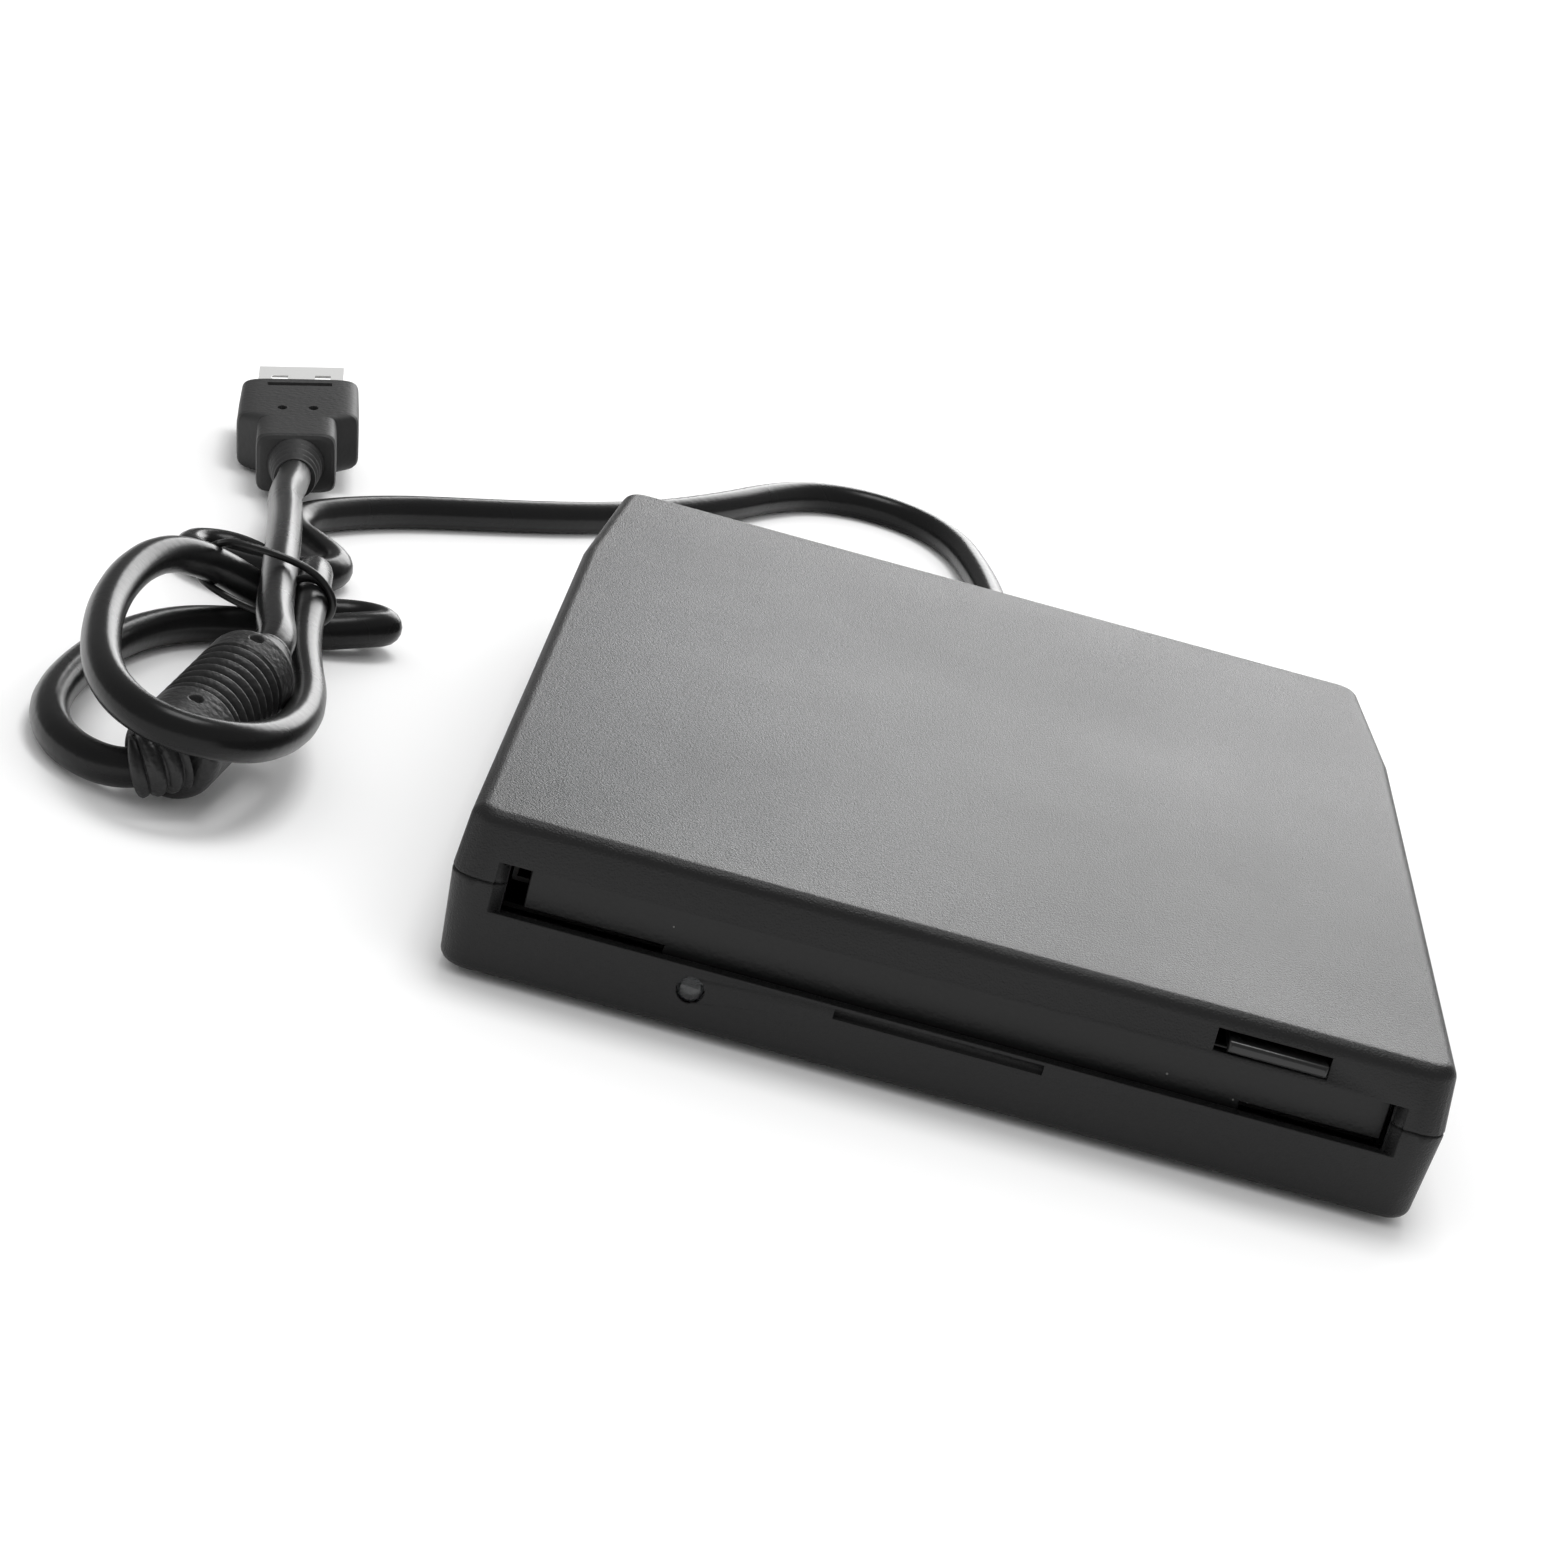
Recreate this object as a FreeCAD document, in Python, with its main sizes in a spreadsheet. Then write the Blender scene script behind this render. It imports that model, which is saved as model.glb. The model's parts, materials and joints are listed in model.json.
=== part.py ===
import FreeCAD, Part
import Sketcher
import math
import os
import re

# External slot-loading floppy disk drive with its tied lead, ferrite bead and plug.
# Millimetres. X to the right, Y from the front face to the back, Z up from the table.
# The origin is the centre of the drive's footprint on the table.

doc = FreeCAD.newDocument("floppy_drive")
sheet = doc.addObject("Spreadsheet::Sheet", "Sheet")

# Driving dimensions
SIZES = {
    # case
    "case_width": 103.0,
    "case_depth": 142.0,
    "case_height": 18.0,
    "rear_taper": 2.1,
    "knee_inset": 33.5,
    "split_height": 10.9,
    "foot_lift": 0.8,
    "case_wall": 1.6,
    "case_draft": 5.0,
    "corner_radius": 3.0,
    "top_round": 1.6,
    "bottom_round": 1.4,
    "foot_radius": 4.0,
    "foot_recess": 0.5,
    "foot_margin": 11.5,
    "foot_inset": 16.0,
    "post_margin": 9.5,
    "post_inset": 6.5,
    "post_radius": 3.0,
    "screw_radius": 1.0,
    "screw_head_radius": 1.9,
    "screw_head_height": 1.1,
    "head_recess": 3.6,
    "tongue_sheet": 0.8,
    "tongue_length": 9.0,
    "tongue_drop": 3.0,
    # slot, flap, button and lamp in the front
    "slot_margin": 5.8,
    "slot_low": 7.84,
    "slot_high": 13.24,
    "slot_round": 1.2,
    "flap_play": 2.3,
    "flap_shift": 0.95,
    "flap_recess": 3.0,
    "flap_sheet": 1.0,
    "flap_overlap": 0.35,
    "flap_bottom": 8.25,
    "flap_step": 14.55,
    "tongue_bottom": 6.95,
    "pivot_radius": 0.5,
    "pivot_rise": 0.06,
    "ear_sheet": 1.6,
    "left_ear_gap": 1.9,
    "ear_gap": 0.3,
    "button_width": 10.25,
    "button_height": 1.25,
    "button_margin": 12.83,
    "button_lift": 0.91,
    "button_proud": 0.5,
    "button_length": 9.0,
    "notch_left_gap": 1.35,
    "notch_right_gap": 0.2,
    "notch_low_gap": 0.35,
    "notch_high_gap": 0.8,
    "groove_width": 21.7,
    "groove_low": 6.4,
    "groove_high": 7.5,
    "groove_cut": 1.25,
    "lamp_margin": 20.4,
    "lamp_z": 5.34,
    "lamp_radius": 1.4,
    "lamp_proud": 0.2,
    # disk and mechanism
    "disk_margin": 6.5,
    "disk_behind": 43.0,
    "disk_play": 0.3,
    "bay_height": 4.2,
    "bay_low": 8.4,
    "hub_inset": 46.0,
    "holder_sheet": 0.5,
    "holder_lip": 3.0,
    "slider_sheet": 0.5,
    "chassis_sheet": 0.7,
    "slide_gap": 0.3,
    "boss_height": 1.0,
    "boss_radius": 3.0,
    "chassis_behind": 13.0,
    "front_screw_margin": 17.0,
    "front_screw_inset": 22.0,
    "rear_screw_margin": 15.0,
    "rear_screw_inset": 4.5,
    "chassis_inset": 7.0,
    "chassis_wall_top": 14.4,
    "button_travel": 4.5,
    "holder_drop": 2.0,
    "cam_pin_radius": 0.8,
    "cam_pin_front": 41.0,
    "cam_pin_behind": 12.0,
    "cam_pin_height": 10.8,
    "rivet_radius": 1.2,
    "rivet_head": 2.0,
    "rivet_margin": 7.6,
    "rivet_front": 51.0,
    "rivet_behind": 14.0,
    "spring_margin": 6.0,
    "spring_front": 32.8,
    "rail_width": 10.0,
    "slider_behind": 2.0,
    "slider_inset": 13.0,
    # spindle motor
    "motor_opening": 17.2,
    "rotor_radius": 16.0,
    "rotor_sheet": 0.6,
    "rotor_top": 6.3,
    "rotor_skirt": 2.2,
    "magnet_sheet": 0.8,
    "stator_radius": 13.9,
    "stator_height": 1.5,
    "shaft_radius": 1.5,
    "shaft_gap": 0.03,
    "bearing_wall": 1.7,
    "board_sheet": 0.6,
    # heads
    "rod_x": 13.0,
    "rod_radius": 0.75,
    "rod_height": 5.65,
    "rod_gap": 0.05,
    "rod_front": 18.8,
    "rod_length": 49.0,
    "clamp_length": 1.6,
    "carriage_low": 4.45,
    "track_zero": 39.5,
    "track_travel": 14.8125,
    "arm_angle": 10.5,
    "arm_hinge_height": 10.6,
    "arm_hinge_behind": 22.5,
    "arm_sheet": 0.6,
    "arm_half_width": 5.0,
    "head_half": 2.0,
    "head_low": 8.3,
    "head_gap": 0.3,
    "screw_x": 20.0,
    "lead_radius": 1.2,
    "lead_height": 8.6,
    "lead_length": 22.4,
    "stepper_radius": 4.3,
    "stepper_length": 8.5,
    # latch lever
    "lever_margin": 11.0,
    "lever_behind": 42.0,
    "lever_length": 21.0,
    "lever_angle": 60.0,
    "lever_start": -69.0,
    "lever_sheet": 0.6,
    "lever_pin_radius": 1.0,
    # cord and what is on it
    "cord_diameter": 4.4,
    "gland_x": 4.0,
    "gland_height": 7.2,
    "gland_radius": 3.0,
    "gland_length": 13.0,
    "bead_radius": 5.3,
    "bead_boot": 3.0,
    "bead_near_boot": 1.0,
    "bead_ribs": 7,
    "bead_rib_pitch": 1.9,
    "bead_rib_depth": 0.5,
    "wire_radius": 0.45,
    "plug_width": 16.5,
    "plug_height": 8.2,
    "plug_length": 22.3,
    "plug_end_slope": 1.5,
    "plug_neck": 10.6,
    "plug_neck_length": 10.4,
    "plug_boot": 4.0,
    "plug_boot_radius": 3.7,
    "shell_width": 12.0,
    "shell_height": 4.5,
    "shell_length": 12.5,
    "shell_sheet": 0.35,
}
for row, (word, number) in enumerate(SIZES.items(), 1):
    sheet.set("A%d" % row, str(number))
    sheet.setAlias("A%d" % row, word)
doc.recompute()

WORD = re.compile(r"[a-z_]+[a-z0-9_]*")
nodes = {}
counter = {}


def link(text):
    """The expression with each named size pointed at the sheet."""
    return WORD.sub(lambda m: "Sheet." + m.group(0) if m.group(0) in SIZES else m.group(0), str(text))


def value(text):
    """The present value of an expression of named sizes."""
    return float(sheet.evalExpression(str(text)))


def fresh(role):
    """A document name that is not used yet."""
    counter[role] = counter.get(role, 0) + 1
    return "%s_%d" % (role, counter[role])


def tie(obj, **pairs):
    """Bind properties, written with two underscores for each dot, to expressions."""
    for key, text in pairs.items():
        obj.setExpression(key.replace("__", "."), link(text))
    return obj


def block(x, y, z):
    """A box between the given low and high expressions on each axis."""
    obj = doc.addObject("Part::Box", fresh("block"))
    tie(obj, Length="(%s) - (%s)" % (x[1], x[0]), Width="(%s) - (%s)" % (y[1], y[0]),
        Height="(%s) - (%s)" % (z[1], z[0]))
    return tie(obj, Placement__Base__x=x[0], Placement__Base__y=y[0], Placement__Base__z=z[0])


TURN = {"x": FreeCAD.Rotation(FreeCAD.Vector(0, 1, 0), 90),
        "y": FreeCAD.Rotation(FreeCAD.Vector(1, 0, 0), -90),
        "z": FreeCAD.Rotation()}


def rod(axis, centre, radius, low, high, top_radius=None):
    """A round bar, or a cone when a far radius is given, along an axis between two stations."""
    obj = doc.addObject("Part::Cylinder" if top_radius is None else "Part::Cone", fresh("rod"))
    if top_radius is None:
        tie(obj, Radius=radius)
    else:
        tie(obj, Radius1=radius, Radius2=top_radius)
    obj.Placement = FreeCAD.Placement(FreeCAD.Vector(), TURN[axis])
    spots = dict(zip([a for a in "xyz" if a != axis], centre))
    spots[axis] = low
    tie(obj, Height="(%s) - (%s)" % (high, low))
    return tie(obj, Placement__Base__x=spots["x"], Placement__Base__y=spots["y"],
               Placement__Base__z=spots["z"])


def join(*parts):
    """The union of the parts."""
    if len(parts) == 1:
        return parts[0]
    obj = doc.addObject("Part::MultiFuse", fresh("join"))
    obj.Shapes = list(parts)
    return obj


def remove(base, *tools):
    """The base with the tools cut away."""
    obj = doc.addObject("Part::Cut", fresh("cut"))
    obj.Base = base
    obj.Tool = join(*tools)
    return obj


def tube(axis, centre, outer, inner, low, high):
    """A round sleeve."""
    return remove(rod(axis, centre, outer, low, high), rod(axis, centre, inner, low, high))


def group(*parts):
    """Separate solids that share one node."""
    obj = doc.addObject("Part::Compound", fresh("group"))
    obj.Links = list(parts)
    return obj


def node(label, obj):
    """Register a finished sub-part under its own name."""
    obj.Label = label
    nodes[label] = obj
    return obj


def origin_plane(body, role):
    """One of a body's own origin planes."""
    return [item for item in body.Origin.OriginFeatures if item.Role == role][0]


def outline(body, name, corners, height):
    """A closed polygon on a body's XY plane, each corner bound to the sheet."""
    sketch = body.newObject("Sketcher::SketchObject", fresh(name))
    sketch.AttachmentSupport = [(origin_plane(body, "XY_Plane"), "")]
    sketch.MapMode = "FlatFace"
    tie(sketch, AttachmentOffset__Base__z=height)
    points = [FreeCAD.Vector(value(x), value(y), 0) for x, y in corners]
    count = len(points)
    for index in range(count):
        sketch.addGeometry(Part.LineSegment(points[index], points[(index + 1) % count]), False)
    for index in range(count):
        sketch.addConstraint(Sketcher.Constraint("Coincident", index, 2, (index + 1) % count, 1))
    for index, (x, y) in enumerate(corners):
        for kind, text in (("DistanceX", x), ("DistanceY", y)):
            where = sketch.addConstraint(Sketcher.Constraint(kind, -1, 1, index, 1, value(text)))
            sketch.setExpression("Constraints[%d]" % where, link(text))
    return sketch


def case_corners(inset):
    """The case's plan at the parting line: straight sides that taper behind the knee."""
    wide = "(case_width / 2 - %s)" % inset
    slim = "(case_width / 2 - rear_taper - %s)" % inset
    front = "(-case_depth / 2 + %s)" % inset
    knee = "(case_depth / 2 - knee_inset)"
    back = "(case_depth / 2 - %s)" % inset
    return [("-" + wide, front), (wide, front), (wide, knee), (slim, back), ("-" + slim, back),
            ("-" + wide, knee)]


def edges_of(feature, test):
    """Names of a feature's edges whose end points pass the test."""
    names = []
    for number, edge in enumerate(feature.Shape.Edges, 1):
        if test([v.Point for v in edge.Vertexes]):
            names.append("Edge%d" % number)
    return names


def drafted_shell(name, upward, floor, fillet):
    """A moulded half shell: a tapered pad with rounded corners and a tapered hollow."""
    body = doc.addObject("PartDesign::Body", name)
    pad = body.newObject("PartDesign::Pad", fresh("pad"))
    pad.Profile = outline(body, "plan", case_corners("0"), "split_height")
    pad.Reversed = not upward
    tie(pad, Length="case_height - split_height" if upward else "split_height - foot_lift",
        TaperAngle="-case_draft")
    doc.recompute()
    back = value("case_depth") / 4
    upright = edges_of(pad, lambda ends: abs(ends[0].z - ends[1].z) > 1 and abs(ends[0].y) > back)
    corners = body.newObject("PartDesign::Fillet", fresh("corners"))
    corners.Base = (pad, upright)
    tie(corners, Radius="corner_radius")
    doc.recompute()
    level = value("case_height" if upward else "foot_lift")
    rim = edges_of(corners, lambda ends: all(abs(p.z - level) < 1e-4 for p in ends))
    soft = body.newObject("PartDesign::Fillet", fresh("rim"))
    soft.Base = (corners, rim)
    tie(soft, Radius=fillet)
    hollow = body.newObject("PartDesign::Pocket", fresh("hollow"))
    hollow.Profile = outline(body, "hollow_plan", case_corners("case_wall"), "split_height")
    hollow.Reversed = upward
    tie(hollow, Length=floor, TaperAngle="-case_draft")
    doc.recompute()
    before = soft.Shape.Volume
    assert hollow.Shape.Volume < before * 0.6, "the shell was not hollowed"
    body.Tip = hollow
    return body


FRONT = "(-case_depth / 2)"
BACK = "(case_depth / 2)"
ROOF = "(case_height - case_wall)"
FLOOR = "(foot_lift + case_wall)"
FRONT_WALL = "(-case_depth / 2 + case_wall)"
BACK_WALL = "(case_depth / 2 - case_wall)"
HALF_SLOT = "(case_width / 2 - slot_margin)"
CLEAR = "slide_gap"

# Mechanism levels and stations, all from the sheet
CHASSIS_LOW = "(foot_lift + case_wall + boss_height)"
CHASSIS_TOP = "(foot_lift + case_wall + boss_height + chassis_sheet)"
CHASSIS_FRONT = "(-case_depth / 2 + chassis_inset)"
CHASSIS_BACK = "(case_depth / 2 - chassis_behind)"
DISK_HALF = "(case_width / 2 - disk_margin)"
BAY_HALF = "(%s + disk_play)" % DISK_HALF
HOLDER_HALF = "(%s + holder_sheet)" % BAY_HALF
FLANGE_IN = "(%s + slide_gap)" % HOLDER_HALF
FLANGE_OUT = "(%s + slider_sheet)" % FLANGE_IN
WALL_IN = "(%s + slide_gap)" % FLANGE_OUT
WALL_OUT = "(%s + chassis_sheet)" % WALL_IN
DISK_BACK = "(case_depth / 2 - disk_behind)"
HUB_Y = "(case_depth / 2 - disk_behind - hub_inset)"
HEAD_Y = "(%s + track_zero)" % HUB_Y
HINGE_Y = "(%s + arm_hinge_behind)" % HEAD_Y
HOLDER_TOP = "(bay_low + bay_height + holder_sheet)"
SLIDER_LOW = "(%s + slide_gap)" % CHASSIS_TOP
SLIDER_TOP = "(%s + slide_gap + slider_sheet)" % CHASSIS_TOP
SLIDER_FRONT = "(-case_depth / 2 + slider_inset)"
PIVOT_Z = "(slot_high + pivot_rise)"
FLAP_Y = "(-case_depth / 2 + flap_recess)"
PIVOT_Y = "(-case_depth / 2 + flap_recess + flap_sheet / 2)"
FLAP_LEFT = "(flap_shift - %s + flap_play / 2)" % HALF_SLOT
FLAP_RIGHT = "(flap_shift + %s - flap_play / 2)" % HALF_SLOT
BUTTON_LOW = "(slot_high + button_lift)"
BUTTON_TOP = "(slot_high + button_lift + button_height)"
BUTTON_X = "(%s - button_margin)" % HALF_SLOT
BUTTON_LEFT = "(%s - button_width / 2)" % BUTTON_X
BUTTON_RIGHT = "(%s + button_width / 2)" % BUTTON_X
LAMP_X = "(lamp_margin - %s)" % HALF_SLOT
FOOT_X = "(case_width / 2 - foot_margin)"
POST_X = "(case_width / 2 - post_margin)"
RIVET_X = "(%s - rivet_margin)" % FLANGE_OUT
SPRING_X = "(%s - spring_margin)" % RIVET_X
LEVER_X = "(lever_margin - %s)" % DISK_HALF
POST_Y = "(case_depth / 2 - post_inset)"
SIDES = (("-", "left"), ("", "right"))


def mirror_x(span, sign):
    """A span of X stations on the chosen side of the middle."""
    low, high = span
    return (low, high) if sign == "" else ("-(%s)" % high, "-(%s)" % low)


def cheek_corner(sign, low, high):
    """The square corner beside the slot that is cut off to make room for a round cheek."""
    return block(mirror_x((HALF_SLOT + " - 0.5", HALF_SLOT + " + slot_round"), sign),
                 (FRONT + " - 1", FRONT + " + slot_round"), (low, high))


def cheek(sign, low, high):
    """The round upright that ends the slot."""
    return rod("z", (sign + "(%s + slot_round + 0.05)" % HALF_SLOT, FRONT + " + slot_round + 0.3"),
               "slot_round", low, high)


# Upper case: drafted lid with the slot, the button's notch, screw posts, tongues and flap ears
lid = drafted_shell("lid", True, "case_height - split_height - case_wall", "top_round")
slot_cut = block(("-" + HALF_SLOT, HALF_SLOT), (FRONT + " - 1", FRONT_WALL + " + 1"),
                 ("split_height - 1", "slot_high"))
lid_corners = []
lid_cheeks = []
for sign, side in SIDES:
    lid_corners.append(cheek_corner(sign, "split_height - 1", "slot_high"))
    lid_cheeks.append(cheek(sign, "split_height", "slot_high + 0.2"))
notch = block((BUTTON_LEFT + " - notch_left_gap", BUTTON_RIGHT + " + notch_right_gap"),
              (FRONT + " - 1", FRONT_WALL + " + 1"),
              (BUTTON_LOW + " - notch_low_gap", BUTTON_TOP + " + notch_high_gap"))
lid_posts = []
lid_holes = []
tongues = []
for sign, side in SIDES:
    spot = (sign + POST_X, POST_Y)
    lid_posts.append(rod("z", spot, "post_radius - 0.3", "split_height", ROOF + " + 0.2"))
    lid_holes.append(rod("z", spot, "screw_radius + rod_gap", "split_height - 1",
                         ROOF + " - case_wall / 2"))
    for place in ("-case_depth * 0.3", "case_depth * 0.1"):
        tongues.append(block(mirror_x((WALL_OUT + " + slide_gap * 1.5",
                                       WALL_OUT + " + slide_gap * 1.5 + tongue_sheet"), sign),
                             (place, place + " + tongue_length"),
                             ("split_height - tongue_drop", ROOF + " + 0.2")))
ear_span_y = (PIVOT_Y + " - 1.3", PIVOT_Y + " + 1.3")
ear_span_z = (PIVOT_Z + " - pivot_radius - 0.35", ROOF + " + 0.2")
LEFT_EAR = "(%s - left_ear_gap)" % FLAP_LEFT
RIGHT_EAR = "(%s + ear_gap)" % FLAP_RIGHT
ears = [block((LEFT_EAR + " - ear_sheet", LEFT_EAR), ear_span_y, ear_span_z),
        block((RIGHT_EAR, RIGHT_EAR + " + ear_sheet"), ear_span_y, ear_span_z)]
ear_bore = rod("x", (PIVOT_Y, PIVOT_Z), "pivot_radius + rod_gap", LEFT_EAR + " - ear_sheet - 1",
               RIGHT_EAR + " + ear_sheet + 1")
lid_cut = remove(join(lid, *lid_posts, *tongues, *ears), slot_cut, *lid_corners, notch, ear_bore,
                 *lid_holes)
node("upper_case", join(lid_cut, *lid_cheeks))

# Lower case: drafted tray with the slot's sill, label groove, bosses and screw tubes
tray = drafted_shell("tray", False, "split_height - foot_lift - case_wall", "bottom_round")
sill_cut = block(("-" + HALF_SLOT, HALF_SLOT), (FRONT + " - 1", FRONT_WALL + " + 1"),
                 ("slot_low", "split_height + 1"))
groove = block(("-groove_width / 2", "groove_width / 2"), (FRONT + " - 1", FRONT + " + groove_cut"),
               ("groove_low", "groove_high"))
lamp_hole = rod("y", (LAMP_X, "lamp_z"), "lamp_radius + rod_gap", FRONT + " - 1", FRONT_WALL + " + 1")
gland_hole = rod("y", ("gland_x", "gland_height"), "gland_radius", BACK_WALL + " - 1", BACK + " + 1")
CHASSIS_SCREWS = []
for sign, side in SIDES:
    CHASSIS_SCREWS.append((sign + "(%s - front_screw_margin)" % DISK_HALF,
                           CHASSIS_FRONT + " + front_screw_inset"))
    CHASSIS_SCREWS.append((sign + "(%s - rear_screw_margin)" % DISK_HALF,
                           CHASSIS_BACK + " - rear_screw_inset"))
tray_adds = []
tray_cuts = [sill_cut, groove, lamp_hole, gland_hole]
for x, y in CHASSIS_SCREWS:
    tray_adds.append(rod("z", (x, y), "boss_radius", FLOOR + " - 0.2", CHASSIS_LOW))
    tray_cuts.append(rod("z", (x, y), "screw_radius + rod_gap", "foot_lift + case_wall / 2",
                         CHASSIS_LOW + " + 1"))
for sign, side in SIDES:
    spot = (sign + POST_X, POST_Y)
    tray_adds.append(rod("z", spot, "post_radius", FLOOR + " - 0.2", "split_height"))
    tray_cuts.append(rod("z", spot, "screw_radius + rod_gap * 2", "0", "split_height + 1"))
    tray_cuts.append(rod("z", spot, "screw_head_radius + 0.15", "0", "foot_lift + head_recess"))
    for end in ("-", ""):
        place = end + "(case_depth / 2 - foot_inset)"
        tray_cuts.append(rod("z", (sign + FOOT_X, place), "foot_radius + rod_gap", "0",
                             "foot_lift + foot_recess"))
BOARD_Y = (BACK_WALL + " - 10.4", BACK_WALL + " - 2.4")
BOARD_LOW = "(%s + 2)" % FLOOR
BOARD_HALF = "(%s - post_radius - 4)" % POST_X
BOARD_SCREWS = ("-(%s - 5)" % BOARD_HALF, "(%s - 5)" % BOARD_HALF)
board_posts = []
for x in BOARD_SCREWS:
    board_posts.append(rod("z", (x, BACK_WALL + " - 5.4"), "2.2", FLOOR + " - 0.2", BOARD_LOW))
    tray_cuts.append(rod("z", (x, BACK_WALL + " - 5.4"), "screw_radius * 0.7 + rod_gap",
                         FLOOR, BOARD_LOW + " + 1"))
tray_cheeks = []
for sign, side in SIDES:
    tray_cuts.append(cheek_corner(sign, "slot_low", "split_height + 1"))
    tray_cheeks.append(cheek(sign, "slot_low - 0.2", "split_height"))
node("lower_case", join(remove(join(tray, *tray_adds, *board_posts), *tray_cuts), *tray_cheeks))

# Case screws: two, up through the tray's rear tubes into the lid's posts
case_screws = []
for sign, side in SIDES:
    spot = (sign + POST_X, POST_Y)
    seat = "foot_lift + head_recess"
    shank = rod("z", spot, "screw_radius", seat, ROOF + " - case_wall / 2 - 0.4")
    head = rod("z", spot, "screw_head_radius", seat + " - screw_head_height", seat)
    cross = [block((spot[0] + " - 0.9", spot[0] + " + 0.9"), (spot[1] + " - 0.2", spot[1] + " + 0.2"),
                   (seat + " - screw_head_height - 1", seat + " - screw_head_height / 2")),
             block((spot[0] + " - 0.2", spot[0] + " + 0.2"), (spot[1] + " - 0.9", spot[1] + " + 0.9"),
                   (seat + " - screw_head_height - 1", seat + " - screw_head_height / 2"))]
    case_screws.append(remove(join(shank, head), *cross))
node("case_screws", group(*case_screws))

# Rubber feet: four discs pressed into recesses in the bottom
feet = []
for sign, side in SIDES:
    for end in ("-", ""):
        place = end + "(case_depth / 2 - foot_inset)"
        feet.append(rod("z", (sign + FOOT_X, place), "foot_radius", "0", "foot_lift + foot_recess"))
node("rubber_feet", group(*feet))

# Lamp: clear lens in the front wall, lamp body behind it on its own small board
lens = join(rod("y", (LAMP_X, "lamp_z"), "lamp_radius", FRONT + " + 0.5 - lamp_proud", FRONT_WALL),
            rod("y", (LAMP_X, "lamp_z"), "lamp_radius", FRONT_WALL + " - 0.1", FRONT_WALL + " + 0.8"),
            rod("y", (LAMP_X, "lamp_z"), "lamp_radius + 0.3", FRONT_WALL + " + 0.7", FRONT_WALL + " + 1.2"))
node("led_lens", lens)
LAMP_BACK = "(%s + 1.3)" % FRONT_WALL
node("led_board", block((LAMP_X + " - 6", LAMP_X + " + 6"), (LAMP_BACK + " + 0.2", LAMP_BACK + " + 3.6"),
                        (FLOOR, FLOOR + " + board_sheet")))
lamp_body = block((LAMP_X + " - 1.6", LAMP_X + " + 1.6"), (LAMP_BACK, LAMP_BACK + " + 3"),
                  (FLOOR + " + board_sheet", "lamp_z + 1.2"))
node("led", lamp_body)

# Gland: moulded strain relief clamped in the tray's rear wall
gland_spot = ("gland_x", "gland_height")
GLAND_END = "(case_depth / 2 + gland_length)"
flange = rod("y", gland_spot, "gland_radius + 1", BACK_WALL + " - 2", BACK_WALL + " - 0.8")
neck = rod("y", gland_spot, "gland_radius - rod_gap", BACK_WALL + " - 1", BACK + " + 0.3")
collar = rod("y", gland_spot, "gland_radius + 0.8", BACK + " + 0.1", BACK + " + 1.5")
relief = rod("y", gland_spot, "gland_radius + 0.5", BACK + " + 1", GLAND_END, "cord_diameter / 2 + 0.3")
rings = []
for step in range(4):
    start = "%s + 3 + %d * 2.4" % (BACK, step)
    rings.append(tube("y", gland_spot, "gland_radius + 2", "cord_diameter / 2 + 0.25", start,
                      start + " + 0.8"))
node("cord_gland", remove(join(flange, neck, collar, relief), *rings))

# Dust flap: hangs behind the slot from two stub pivots and swings inward
flap_sheet_y = (FLAP_Y, FLAP_Y + " + flap_sheet")
panel = block((FLAP_LEFT, FLAP_RIGHT), flap_sheet_y, ("flap_bottom", PIVOT_Z + " + flap_overlap"))
lower_panel = block((FLAP_LEFT + " + flap_step", FLAP_RIGHT + " - flap_step"), flap_sheet_y,
                    ("tongue_bottom", "flap_bottom"))
pivot_bar = rod("x", (PIVOT_Y, PIVOT_Z), "pivot_radius", LEFT_EAR + " - ear_sheet * 0.8",
                RIGHT_EAR + " + ear_sheet * 0.8")
node("dust_flap", join(panel, lower_panel, pivot_bar))


def coil(axis_point, direction, mean, wire, turns, pitch):
    """A coil spring: quarter turns as arcs through points of a helix, swept by the wire's section."""
    steps = 4 * turns
    helix = []
    for index in range(2 * steps + 1):
        angle = index * math.pi / 4
        helix.append(FreeCAD.Vector(mean * math.cos(angle), mean * math.sin(angle),
                                    pitch * index / 8.0))
    arcs = [Part.Arc(helix[2 * i], helix[2 * i + 1], helix[2 * i + 2]).toShape() for i in range(steps)]
    path = Part.Wire(arcs)
    tangent = FreeCAD.Vector(0, mean, pitch / (2 * math.pi))
    section = Part.Wire(Part.Circle(helix[0], tangent, wire).toShape())
    obj = doc.addObject("Part::Feature", fresh("coil"))
    obj.Shape = path.makePipeShell([section], True, False)
    obj.Placement = FreeCAD.Placement(axis_point, FreeCAD.Rotation(FreeCAD.Vector(0, 0, 1), direction))
    return obj


# Flap spring: torsion coil round the left pivot, between the flap and its ear
SPRING_WIRE = 0.14
node("flap_spring", coil(FreeCAD.Vector(value(LEFT_EAR) + 0.3, value(PIVOT_Y), value(PIVOT_Z)),
                         FreeCAD.Vector(1, 0, 0), value("pivot_radius") + SPRING_WIRE + 0.12,
                         SPRING_WIRE, 4, (value("left_ear_gap") - 0.7) / 4))

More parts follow.
